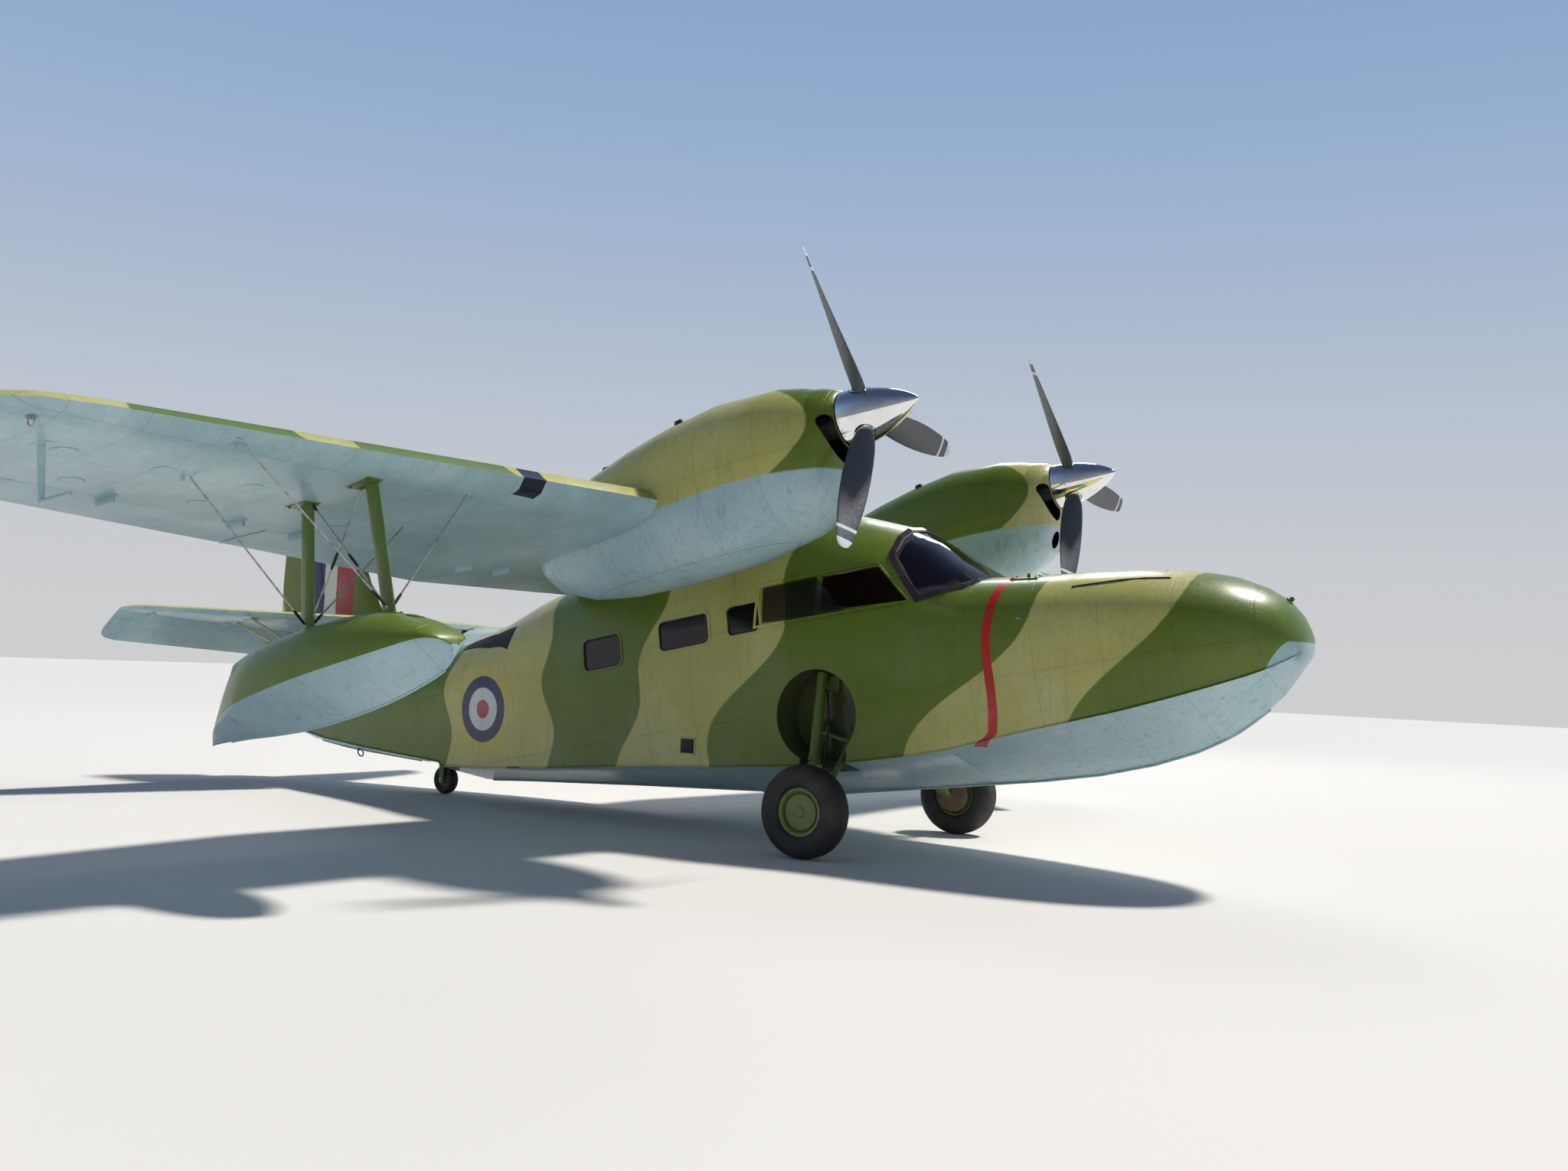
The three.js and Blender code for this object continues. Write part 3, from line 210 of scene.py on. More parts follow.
def noise(tree, place, scale, detail=3.0, roughness=0.6):
    """Cloudy noise from 0 to 1."""
    inputs = {"Vector": place, "Scale": scale, "Detail": detail, "Roughness": roughness}
    return node(tree, "TexNoise", inputs).outputs[0]


patches = noise(paint_group, given["Place"], 1.4, 4.0)
mottle = noise(paint_group, given["Place"], 34.0, 5.0, 0.65)
upright = {0: given["Place"], 1: (19.0, 19.0, 1.5)}
tall = node(paint_group, "VectorMath", upright, operation="MULTIPLY").outputs[0]
runs = noise(paint_group, tall, 1.0, 4.0, 0.7)
specks = noise(paint_group, given["Place"], 90.0, 2.0)
fade = calc(paint_group, "MULTIPLY", ramp(paint_group, patches, 0.45, 0.75), given["Fading"])
lift = calc(paint_group, "MULTIPLY", ramp(paint_group, patches, 0.3, 0.75, -0.16, 0.22), given["Fading"])
faded = node(paint_group, "HueSaturation", {
    "Saturation": calc(paint_group, "SUBTRACT", 1.0, calc(paint_group, "MULTIPLY", fade, 0.5)),
    "Value": calc(paint_group, "ADD", 1.0, lift),
    "Color": given["Paint"],
}).outputs[0]
shade = ramp(paint_group, mottle, 0.25, 0.75, 0.93, 1.07)
mottled = node(paint_group, "HueSaturation", {"Value": shade, "Color": faded}).outputs[0]
dirty = calc(paint_group, "MULTIPLY", ramp(paint_group, runs, 0.52, 0.78, 0.0, 0.5), given["Streaks"])
speck = calc(paint_group, "MULTIPLY", ramp(paint_group, specks, 0.72, 0.76, 0.0, 0.5), given["Streaks"])
grime = mixed(paint_group, dirty, mottled, (0.055, 0.048, 0.035, 1))
paint_group.links.new(mixed(paint_group, speck, grime, (0.03, 0.027, 0.022, 1)), result["Color"])
sheen = ramp(paint_group, mottle, 0.2, 0.8, 0.30, 0.42)
paint_group.links.new(calc(paint_group, "MULTIPLY_ADD", dirty, 0.5, sheen), result["Roughness"])
waves = noise(paint_group, given["Place"], 2.6, 1.0)
dents = calc(paint_group, "MULTIPLY", waves, 0.008)
paint_group.links.new(calc(paint_group, "MULTIPLY_ADD", mottle, 0.00025, dents), result["Height"])

# The seams where sheets meet, each with a row of rivets on both sides. Along
# runs across the seams, and Across runs with them.
seam_group, given, result = shader_group(
    "riveted seams",
    {"Along": ("Float", 0.0), "Across": ("Float", 0.0),
     "Spacing": ("Float", 0.4), "Rivets": ("Float", 0.03)},
    {"Height": "Float", "Line": "Float"},
)
off = calc(seam_group, "PINGPONG", given["Along"], calc(seam_group, "MULTIPLY", given["Spacing"], 0.5))
line = ramp(seam_group, off, 0.0007, 0.0022, 1.0, 0.0)
beside = calc(seam_group, "SUBTRACT", off, 0.014)
between = calc(seam_group, "PINGPONG", given["Across"], calc(seam_group, "MULTIPLY", given["Rivets"], 0.5))
square = calc(seam_group, "MULTIPLY_ADD", beside, beside, calc(seam_group, "MULTIPLY", between, between))
rivet = ramp(seam_group, calc(seam_group, "SQRT", square), 0.0025, 0.0042, 1.0, 0.0)
sunk = calc(seam_group, "MULTIPLY", line, -0.0014)
seam_group.links.new(calc(seam_group, "MULTIPLY_ADD", rivet, 0.0009, sunk), result["Height"])
faint = calc(seam_group, "MULTIPLY", rivet, 0.3)
seam_group.links.new(calc(seam_group, "MAXIMUM", line, faint), result["Line"])


def painted(name, colour, seams=((0, 2, 0.43), (2, 0, 0.62)), tilt=DATUM_TILT, fading=0.5, streaks=0.5):
    """Weathered paint, with riveted seams across one axis and along another at a spacing."""
    made, tree, shader, place = material(name)
    turned = node(tree, "Mapping", {"Vector": place, "Rotation": (0, tilt, 0)}).outputs[0]
    axes = node(tree, "SeparateXYZ", {0: turned}).outputs
    paint = colour(tree, place) if callable(colour) else colour
    given = {"Place": place, "Paint": paint, "Fading": fading, "Streaks": streaks}
    coat = node(tree, "Group", given, node_tree=paint_group)
    shown, height = coat.outputs["Color"], coat.outputs["Height"]
    for along, across, spacing in seams:
        given = {"Along": axes[along], "Across": axes[across], "Spacing": spacing}
        row = node(tree, "Group", given, node_tree=seam_group)
        shown = mixed(tree, calc(tree, "MULTIPLY", row.outputs["Line"], 0.4), shown, (0.03, 0.035, 0.02, 1))
        height = calc(tree, "ADD", height, row.outputs["Height"])
    bump = node(tree, "Bump", {"Height": height, "Strength": 0.6, "Distance": 1.0}).outputs[0]
    feed(tree, shader, {
        "Base Color": shown, "Roughness": coat.outputs["Roughness"], "Normal": bump,
        "Specular IOR Level": 0.36, "Coat Weight": 0.22, "Coat Roughness": 0.12,
    })
    return made


def bands(tree, along, up, across, edges, softness=0.012):
    """1 where the first colour shows and 0 where the second does: they change at each wavy edge."""
    shown = None
    for index, (at, slope, swing, wave, phase, lean) in enumerate(edges):
        waved = calc(tree, "SINE", calc(tree, "MULTIPLY_ADD", up, wave, phase))
        curve = calc(tree, "MULTIPLY", waved, swing)
        tilted = calc(tree, "MULTIPLY_ADD", calc(tree, "SUBTRACT", up, 1.1), slope, curve)
        leant = calc(tree, "MULTIPLY_ADD", across, lean, tilted)
        past = calc(tree, "SUBTRACT", calc(tree, "SUBTRACT", along, at), leant)
        step = calc(tree, "MULTIPLY_ADD", past, 1 / softness, 0.5, clamp=True)
        shown = step if shown is None else calc(tree, "SUBTRACT" if index % 2 else "ADD", shown, step)
    return calc(tree, "SUBTRACT", 1.0, shown)


# along the hull, tail to nose: place at 1.1 m up, slope, swing, wave, phase, lean across the deck
HULL_EDGES = (
    (-1.855, -0.076, 0.052, 9.0, 2.84, 0.15),
    (-0.660, -0.146, 0.054, 9.0, 1.93, 0.15),
    (0.312, 0.222, 0.051, 8.0, 0.98, 0.15),
    (1.242, 0.420, 0.145, 5.0, 0.76, 0.15),
    (2.867, 0.631, 0.144, 5.0, 0.51, 0.15),
    (3.851, 0.081, 0.272, 3.5, 1.63, 0.15),
)
ROUNDEL_X, ROUNDEL_Z = -1.47, 0.78
ROUNDEL_RINGS = (
    (0.345, (0.56, 0.47, 0.09, 1), 0.65),
    (0.262, (0.020, 0.026, 0.105, 1), 0.97),
    (0.170, (0.62, 0.66, 0.68, 1), 0.97),
    (0.074, (0.40, 0.022, 0.030, 1), 0.97),
)
STRIPE_X, STRIPE_WIDTH, STRIPE_END, STRIPE_RED = 2.890, 0.062, 0.772, (0.48, 0.012, 0.006, 1)
# how the stripe leans, up the side and at its foot: between which heights, and from which offset
# ahead of its place to which
STRIPE_BENDS = ((0.95, 1.5, 0.105, 0.035), (0.74, 0.88, -0.12, 0.0))
# at the nose the pale blue rises above the chine: places along the hull, and its heights there
NOSE_START, NOSE_RISE = (4.40, 4.45), (4.46, 4.68, 1.20, 1.505)


def distance(tree, *gaps):
    """How far a place is from a point, from its gaps along the axes."""
    total = calc(tree, "MULTIPLY", gaps[0], gaps[0])
    for gap in gaps[1:]:
        total = calc(tree, "MULTIPLY_ADD", gap, gap, total)
    return calc(tree, "SQRT", total)


def striped(tree, place, shown):
    """The red stripe round the bow, over what is shown."""
    x, y, z = node(tree, "SeparateXYZ", {0: place}).outputs
    bent = calc(tree, "ADD", *(ramp(tree, z, *bend) for bend in STRIPE_BENDS))
    middle = calc(tree, "ADD", bent, STRIPE_X)
    off = calc(tree, "ABSOLUTE", calc(tree, "SUBTRACT", x, middle))
    stripe = ramp(tree, off, STRIPE_WIDTH / 2 - 0.003, STRIPE_WIDTH / 2 + 0.003, 1.0, 0.0)
    ends = ramp(tree, z, STRIPE_END - 0.002, STRIPE_END + 0.002)
    return mixed(tree, calc(tree, "MULTIPLY", stripe, ends), shown, STRIPE_RED)


def hull_colours(tree, place):
    """The hull's wavy bands, with the roundel, the pale nose and the stripe."""
    x, y, z = node(tree, "SeparateXYZ", {0: place}).outputs
    shown = mixed(tree, bands(tree, x, z, y, HULL_EDGES), TAN, GREEN)
    reach = distance(tree, calc(tree, "SUBTRACT", x, ROUNDEL_X), calc(tree, "SUBTRACT", z, ROUNDEL_Z))
    for radius, ring, strength in ROUNDEL_RINGS:
        soft = 0.02 if strength < 0.9 else 0.003
        shown = mixed(tree, ramp(tree, reach, radius - soft, radius + soft, strength, 0.0), shown, ring)
    under = calc(tree, "SUBTRACT", ramp(tree, x, *NOSE_RISE), z)
    pale = calc(tree, "MULTIPLY_ADD", under, 150.0, 0.5, clamp=True)
    nose = calc(tree, "MULTIPLY", pale, ramp(tree, x, *NOSE_START))
    return striped(tree, place, mixed(tree, nose, shown, SKY_BLUE))


hull_paint = painted("hull camouflage", hull_colours)
hull_bottom = painted("pale blue bottom", lambda tree, place: striped(tree, place, SKY_BLUE),
                      ((0, 2, 0.43), (1, 0, 0.33)), fading=0.6, streaks=0.8)
well_paint = painted("wheel well green", (0.052, 0.075, 0.020, 1), ((0, 2, 0.2), (2, 0, 0.2)), streaks=1.0)
lining = painted("cabin lining", (0.150, 0.090, 0.085, 1), ((0, 2, 0.3),), streaks=0.2)


def placed(made, name, body, materials, stands_for=()):
    """A finished bmesh as a named piece that rides on a body."""
    data = bpy.data.meshes.new(name)
    made.to_mesh(data)
    made.free()
    for finish in materials:
        data.materials.append(finish)
    piece = bpy.data.objects.new(name, data)
    bpy.context.scene.collection.objects.link(piece)
    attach(piece, body)
    if stands_for:
        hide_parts(*stands_for)
    return piece


def smooth(made, sharp=34):
    """Smooth faces, with an edge kept sharp past an angle."""
    made.normal_update()
    for face in made.faces:
        face.smooth = True
    for edge in made.edges:
        edge.smooth = edge.calc_face_angle(pi) < radians(sharp)


def welded(node_name):
    """A copy of a CAD node's mesh with its corners joined."""
    made = bmesh.new()
    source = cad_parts[node_name].data.copy()
    if "custom_normal" in source.attributes:
        source.attributes.remove(source.attributes["custom_normal"])
    made.from_mesh(source)
    bmesh.ops.remove_doubles(made, verts=made.verts, dist=0.0002)
    bmesh.ops.dissolve_degenerate(made, edges=made.edges, dist=0.0001)
    made.normal_update()
    return made


shells = {}


def skin(node_name, body, materials, choose=None, sharp=34):
    """A welded, smooth copy of a CAD node with its paint, standing for the node."""
    made = welded(node_name)
    smooth(made, sharp)
    for face in made.faces:
        face.material_index = choose(face) if choose else 0
    shells[node_name] = BVHTree.FromBMesh(made)
    return placed(made, node_name + "_skin", body, materials, (node_name,))


# the round main wells, and boxes round the notch for the leg and round the tail wheel's well
WELL_X, WELL_Z, WELL_RADIUS, WELL_INNER, WELL_OUTER = 1.715, 0.905, 0.312, 0.49, 0.775
LEG_NOTCH = ((1.595, 0.55, 0.37), (1.965, WELL_OUTER, 0.765))
TAIL_WELL = ((-2.72, -1, 0.2), (-2.08, 0.27, 0.46))
LINED_AFT, LINED_FORE, LINED_MIDDLE = -1.1, 3.98, 1.15
BOTTOM_SLOPE = -0.28


def in_box(spot, box):
    """Whether a place, taken to the port side, lies in a box given by two corners."""
    place = (spot.x, abs(spot.y), spot.z)
    return all(low < value < high for low, value, high in zip(box[0], place, box[1]))


def hull_zone(face):
    """0 camouflage, 1 bottom, 2 wheel wells, 3 inside."""
    spot, facing = face.calc_center_median(), face.normal
    inboard = facing.y * spot.y < 0 or abs(facing.y) < 0.75
    reach = hypot(spot.x - WELL_X, spot.z - WELL_Z)
    round_wall = reach < WELL_RADIUS + 0.004 and WELL_INNER < abs(spot.y) < WELL_OUTER
    outer_skin = abs(spot.y) > 0.7 and abs(facing.y) > 0.75
    if (round_wall or in_box(spot, LEG_NOTCH)) and not outer_skin:
        return 2
    if in_box(spot, TAIL_WELL) and abs(facing.z + 0.97) > 0.1:
        return 2
    towards_middle = spot.y * facing.y + (spot.z - LINED_MIDDLE) * facing.z < 0
    if inboard and towards_middle and LINED_AFT < spot.x < LINED_FORE:
        return 3
    return 1 if facing.z < BOTTOM_SLOPE or (facing.x < -0.8 and spot.z < 0.45) else 0


hull_finishes = (hull_paint, hull_bottom, well_paint, lining)
for part in ("hull_bow", "hull_cabin", "hull_tail"):
    skin(part, "airframe", hull_finishes, hull_zone)
for part in ("cabin_door", "bow_hatch"):
    skin(part, part, hull_finishes, hull_zone)
skin("pane_rails_starboard", "airframe", (hull_paint,))


# The windows: sheets of clear plastic, violet with age, each held in a black
# rubber gasket, in a thin frame that is painted with the hull.
glazing, tree, shader, place = material("aged clear plastic")
haze = ramp(tree, noise(tree, place, 2.5, 2.0), 0.4, 0.8, 0.0, 0.03)
feed(tree, shader, {
    "Base Color": (0.40, 0.31, 0.34, 1), "Transmission Weight": 1.0, "IOR": 1.45, "Roughness": haze,
})
# light falls through the sheet into the cabin
open_way = node(tree, "BsdfTransparent", {0: (0.62, 0.50, 0.55, 1)})
shadow_ray = node(tree, "LightPath").outputs["Is Shadow Ray"]
passing = node(tree, "MixShader", {0: shadow_ray, 1: shader.outputs[0], 2: open_way.outputs[0]})
output = next(end for end in tree.nodes if end.type == "OUTPUT_MATERIAL")
tree.links.new(passing.outputs[0], output.inputs[0])

rubber, tree, shader, place = material("black rubber")
grain = noise(tree, place, 180.0, 4.0)
dusty = ramp(tree, noise(tree, place, 9.0), 0.5, 0.75, 0.0, 0.35)
feed(tree, shader, {
    "Base Color": mixed(tree, dusty, (0.012, 0.012, 0.013, 1), (0.07, 0.066, 0.06, 1)),
    "Roughness": ramp(tree, grain, 0.3, 0.7, 0.55, 0.8),
    "Normal": node(tree, "Bump", {"Height": grain, "Strength": 0.25, "Distance": 0.001}).outputs[0],
})

side_panes = [f"window_{row}_{side}" for row in ("aft", "middle", "front")
              for side in SIDE_NAMES.values()]
for pane in side_panes + ["windshield", "pilot_pane_port", "pilot_pane_starboard"]:
    skin(pane, "airframe", (glazing,))


def rim(node_name, name, width, lift, thick, finish, outset=False):
    """A strip that follows the edge of a pane's outer sheet, off it by a lift."""
    made = welded(node_name)
    outer = shells[node_name]
    # only the outer sheet stays: it has nothing close ahead of it and faces away from the cabin
    gone = []
    for face in made.faces:
        spot = face.calc_center_median()
        beyond = outer.ray_cast(spot + face.normal * 0.001, face.normal)[0]
        away = face.normal.dot(Vector((0.0, spot.y, max(spot.z - 1.3, 0.0) * 0.8)).normalized())
        if beyond is not None and (beyond - spot).length < 0.02 or away < 0.3:
            gone.append(face)
    bmesh.ops.delete(made, geom=gone, context="FACES")
    bmesh.ops.dissolve_limit(made, angle_limit=radians(1), verts=made.verts, edges=made.edges)
    made.normal_update()
    moves = [(vert, vert.normal.copy()) for vert in made.verts]
    for vert, normal in moves:
        vert.co += normal * lift
    if outset:
        asides = {}
        border = [edge for edge in made.edges if edge.is_boundary]
        for edge in border:
            loop = edge.link_loops[0]
            along = (loop.link_loop_next.vert.co - loop.vert.co).normalized()
            for vert in edge.verts:
                asides.setdefault(tuple(vert.co), []).append(along.cross(loop.face.normal))
        before = set(made.verts)
        bmesh.ops.extrude_edge_only(made, edges=border)
        for vert in made.verts:
            if vert not in before:
                first, last = asides[tuple(vert.co)][0], asides[tuple(vert.co)][-1]
                vert.co += (first + last) / max(1 + first.dot(last), 0.5) * width
        kept = {face for face in made.faces if any(vert not in before for vert in face.verts)}
    else:
        kept = set(bmesh.ops.inset_region(made, faces=made.faces[:], thickness=width, use_boundary=True,
                                          use_even_offset=True)["faces"])
    bmesh.ops.delete(made, geom=[face for face in made.faces if face not in kept], context="FACES")
    bmesh.ops.solidify(made, geom=made.faces[:], thickness=-thick)
    bmesh.ops.recalc_face_normals(made, faces=made.faces)
    return placed(made, name, "airframe", (finish,))


for pane in side_panes + ["pilot_pane_port"]:
    rim(pane, pane + "_gasket", 0.011, -0.001, 0.005, rubber)
    rim(pane, pane + "_frame", 0.018, 0.0105, 0.0040, hull_paint, outset=True)
rim("windshield", "windshield_gasket", 0.012, 0.0, 0.004, rubber)


def clouded(name, cloud, dark, light, sheen, edges=None, extra=()):
    """A finish whose colour and roughness follow one cloudy noise, its colour crisper between edges."""
    made, tree, shader, place = material(name)
    veil = noise(tree, place, *cloud)
    share = ramp(tree, veil, *edges) if edges else veil
    colour, roughness = mixed(tree, share, dark, light), ramp(tree, veil, *sheen)
    feed(tree, shader, {"Base Color": colour, "Roughness": roughness, **dict(extra)})
    return made


# a dark violet band round the windshield that carries its glass out to the edge: its colour is the sheet's
# tint with painted shade of the cabin behind
glass_edge_tint_and_shade = clouded("glass edge tint and painted shade", (12.0, 3.0), (0.022, 0.014, 0.018, 1), (0.050, 0.034, 0.042, 1),
                      (0.3, 0.8, 0.03, 0.12))
rim("windshield", "windshield_edge", 0.038, 0.0085, 0.0030, glass_edge_tint_and_shade, outset=True)


# Fittings of the hull: an eye, grab rails and a plate on the bow's deck, a foot
# step, the lip of the pilot's opening, handles, hinges and the keel's rubbing
# strip, of pressed or turned metal, riveted or screwed on.
steel = clouded("worn steel", (30.0, 4.0), (0.46, 0.46, 0.47, 1), (0.20, 0.17, 0.14, 1),
                (0.3, 0.8, 0.28, 0.6), edges=(0.45, 0.75), extra={"Metallic": 1.0})
dark_metal = clouded("blackened metal", (45.0, 4.0), (0.010, 0.010, 0.011, 1), (0.045, 0.042, 0.040, 1),
                     (0.3, 0.7, 0.40, 0.70), extra={"Metallic": 0.4})
strut_green = painted("strut green", (0.105, 0.165, 0.030, 1), (), fading=0.4, streaks=0.7)


def seat_on(node_name, start, toward, along=(1, 0, 0)):
    """A matrix that stands a fitting on a skin where a ray meets it, with its X along the skin."""
    spot, facing, _, _ = shells[node_name].ray_cast(Vector(start), Vector(toward).normalized())
    side = facing.cross(Vector(along)).normalized()
    turn = Matrix((side.cross(facing), side, facing)).transposed().to_4x4()
    return Matrix.Translation(spot) @ turn


def edges_at(verts):
    """The edges at some vertices, each once and always in the same order."""
    return list(dict.fromkeys(edge for vert in verts for edge in vert.link_edges))


def add_block(made, at, size, middle=(0, 0, 0), bevel=0.002):
    """A block with rounded edges, placed by a matrix."""
    shape = at @ Matrix.Translation(Vector(middle)) @ Matrix.Diagonal((*size, 1))
    cube = bmesh.ops.create_cube(made, size=1, matrix=shape)
    bmesh.ops.bevel(made, geom=edges_at(cube["verts"]), offset=bevel, segments=2, profile=0.5,
                    affect="EDGES", material=-1, clamp_overlap=True)


def add_rod(made, start, end, radius, tip=None, sides=16):
    """A round bar between two points; it may taper."""
    start, end = Vector(start), Vector(end)
    turn = (end - start).to_track_quat("Z", "Y").to_matrix().to_4x4()
    bmesh.ops.create_cone(made, cap_ends=True, segments=sides, radius1=radius,
                          radius2=radius if tip is None else tip, depth=(end - start).length,
                          matrix=Matrix.Translation((start + end) / 2) @ turn)


def add_disc(made, at, radius, height, sides=20, middle=(0, 0), tip=None):
    """A round boss standing on a skin."""
    foot = at @ Vector((*middle, -0.003))
    add_rod(made, foot, at @ Vector((*middle, height)), radius, tip, sides)


def add_chain(made, spots, radius, sides=10):
    """Round bars end to end through a row of spots."""
    for first, second in zip(spots, spots[1:]):
        add_rod(made, first, second, radius, sides=sides)


def add_bolts(made, at, half_length, half_width, radius, height):
    """Four hexagonal bolts in the corners of a plate."""
    for u in (-half_length, half_length):
        for v in (-half_width, half_width):
            add_disc(made, at, radius, height, sides=6, middle=(u, v))


def fitted(made, name, body, finish, sharp=34):
    """A smooth piece of one material."""
    smooth(made, sharp)
    return placed(made, name, body, (finish,))


made = bmesh.new()
at = seat_on("hull_bow", (4.60, 0, 2.6), (0, 0, -1))
add_disc(made, at, 0.026, 0.006)
eye = at @ Matrix.Translation((0, 0, 0.018)) @ Matrix.Rotation(pi / 2, 4, "X")
add_disc(made, eye @ Matrix.Translation((0, 0, -0.003)), 0.015, 0.006)
fitted(made, "bow_eye", "airframe", hull_paint)

# a thin grab rail along each side of the bow's deck
for sign, side in SIDE_NAMES.items():
    made = bmesh.new()
    posts = []
    for share in (0.0, 0.25, 0.5, 0.75, 1.0):
        at = seat_on("hull_bow", (3.42 + 0.565 * share, sign * (0.555 - 0.149 * share), 2.6), (0, 0, -1))
        add_disc(made, at, 0.008, 0.006, sides=10)
        posts.append(at @ Vector((0, 0, 0.005)))
    add_chain(made, posts, 0.0045)
    fitted(made, f"bow_rail_{side}", "airframe", dark_metal)

made = bmesh.new()
at = seat_on("hull_bow", (3.02, -0.36, 2.6), (0, 0, -1))
add_block(made, at, (0.19, 0.10, 0.010))
for end in (-0.08, 0.08):
    add_disc(made, at, 0.006, 0.013, middle=(end, 0.035))
    add_disc(made, at, 0.006, 0.013, middle=(end, -0.035))
add_disc(made, at, 0.013, 0.030, middle=(0.02, 0), tip=0.009)
fitted(made, "deck_plate", "airframe", hull_paint)

made = bmesh.new()
at = seat_on("hull_bow", (3.135, -2, 1.588), (0, 1, 0))
add_block(made, at, (0.048, 0.014, 0.006))
add_disc(made, at, 0.005, 0.012, middle=(0.012, 0), tip=0.004)
fitted(made, "side_fitting", "airframe", steel)

# the foot step: a dark plate on the skin, painted shade for the step's pocket, in a raised frame
made = bmesh.new()
frame_at = seat_on("hull_cabin", (0.656, -2, 0.632), (0, 1, 0))
add_block(made, frame_at, (0.120, 0.100, 0.005))
fitted(made, "foot_step_shade_plate", "airframe", dark_metal)
made = bmesh.new()
for offset, size in (((0.066, 0), (0.014, 0.128)), ((-0.066, 0), (0.014, 0.128)),
                     ((0, 0.057), (0.146, 0.014)), ((0, -0.057), (0.146, 0.014))):
    add_block(made, frame_at, (*size, 0.010), middle=(*offset, 0), bevel=0.003)
fitted(made, "foot_step_frame", "airframe", hull_paint)

# the lip round the pilot's opening
OPENING = ((1.682, 1.600), (2.335, 1.690), (2.062, 1.922), (1.650, 1.842))
OPENING_MIDDLE, OPENING_GROWTH = Vector((1.93, 1.76)), 0.012
corners = [Vector(corner) for corner in OPENING]
corners = [corner + (corner - OPENING_MIDDLE).normalized() * OPENING_GROWTH for corner in corners]
made = bmesh.new()
spots = []
for first, second in zip(corners, corners[1:] + corners[:1]):
    for step in range(12):
        x, z = first.lerp(second, step / 12)
        spots.append(shells["hull_cabin"].ray_cast(Vector((x, -2, z)), Vector((0, 1, 0)))[0])
add_chain(made, spots + spots[:1], 0.0065)
fitted(made, "pilot_opening_lip", "airframe", hull_paint)

# the handle of the door, the hinges of door and hatch
made = bmesh.new()
at = seat_on("cabin_door", (-0.92, 2, 0.98), (0, -1, 0))
add_block(made, at, (0.10, 0.040, 0.005))
add_disc(made, at, 0.012, 0.026, middle=(-0.03, 0))
add_block(made, at, (0.095, 0.016, 0.010), middle=(0.008, 0, 0.029), bevel=0.004)
fitted(made, "door_handle", "cabin_door", steel)
for name, z in (("upper", 1.22), ("lower", 0.83)):
    made = bmesh.new()
    at = seat_on("cabin_door", (-0.47 - (z - 1.02) * 0.19, 2, z), (0, -1, 0))
    add_block(made, at, (0.085, 0.045, 0.005))
    for spot in ((-0.025, 0.012), (0.0, -0.012), (0.02, 0.012)):
        add_disc(made, at, 0.004, 0.008, middle=spot, sides=8)
    fitted(made, f"door_hinge_{name}", "cabin_door", steel)
made = bmesh.new()
at = seat_on("bow_hatch", (3.54, 0.19, 2.6), (0, 0, -1))
add_block(made, at, (0.12, 0.030, 0.005))
add_block(made, at, (0.09, 0.012, 0.010), middle=(0, 0, 0.022), bevel=0.004)
for end in (-0.037, 0.037):
    add_disc(made, at, 0.006, 0.022, middle=(end, 0))
fitted(made, "hatch_handle", "bow_hatch", steel)

# the keel's rubbing strip, in short lengths that follow the bottom
BOW_END, CABIN_END = 2.701, -1.149
made = bmesh.new()
for start, stop, count in ((4.50, 0.95, 40), (0.80, -1.90, 26), (-2.76, -4.05, 12)):
    lengths = []
    for index in range(count + 1):
        x = start + (stop - start) * index / count
        part = "hull_bow" if x > BOW_END else "hull_cabin" if x > CABIN_END else "hull_tail"
        spot = shells[part].ray_cast(Vector((x, 0.001, -1)), Vector((0, 0, 1)))[0]
        lengths.append(Vector((x, 0, spot.z)))
    add_chain(made, lengths, 0.011, sides=8)
fitted(made, "keel_strip", "airframe", hull_bottom)


# The wing: a riveted centre section across the hull and two tapered outer
# panels bolted to it, pale blue below and camouflaged above, with landing
# lights in the leading edges, hinge brackets and an air-speed mast below.
WING_TILT = radians(14)
WING_EDGES = (
    (-5.35, -0.35, 0.16, 4.0, 0.4, 0.0),
    (-4.76, 0.45, 0.12, 5.0, 1.9, 0.0),
    (-4.17, -0.30, 0.15, 4.5, 0.2, 0.0),
    (-3.42, 0.35, 0.14, 4.0, 2.4, 0.0),
    (-1.30, -0.25, 0.12, 5.0, 0.9, 0.0),
    (0.55, 0.30, 0.15, 4.5, 2.0, 0.0),
    (2.35, -0.30, 0.15, 4.0, 1.1, 0.0),
    (3.40, 0.40, 0.12, 5.0, 0.3, 0.0),
    (4.30, -0.35, 0.15, 4.2, 1.8, 0.0),
    (5.20, 0.30, 0.12, 5.0, 0.6, 0.0),
)


def wing_colours(tree, place):
    """The upper side's wavy bands, which run across the span."""
    x, y, z = node(tree, "SeparateXYZ", {0: place}).outputs
    return mixed(tree, bands(tree, y, x, z, WING_EDGES), GREEN, TAN)


WING_SEAMS = ((1, 0, 0.36), (0, 1, 0.5))
wing_top = painted("wing camouflage", wing_colours, WING_SEAMS, WING_TILT)
wing_under = painted("wing pale blue", SKY_BLUE, WING_SEAMS, WING_TILT, fading=0.8, streaks=0.3)


def wing_zone(face):
    """0 above, 1 below."""
    return 0 if face.normal.dot(Vector((-sin(WING_TILT), 0, cos(WING_TILT)))) > 0.04 else 1


wing_finishes = (wing_top, wing_under)
skin("wing_center", "airframe", wing_finishes, wing_zone, sharp=50)
for side in ("port", "starboard"):
    skin(f"wing_{side}", "airframe", wing_finishes, wing_zone, sharp=50)
    for part in ("flap_inner", "flap_outer", "aileron"):
        skin(f"{part}_{side}", f"{part}_{side}", wing_finishes, wing_zone, sharp=50)

lamp_glass = clouded("landing light", (60.0,), (0.008, 0.009, 0.011, 1), (0.022, 0.024, 0.028, 1),
                     (0.3, 0.8, 0.04, 0.14), extra={"Coat Weight": 1.0})


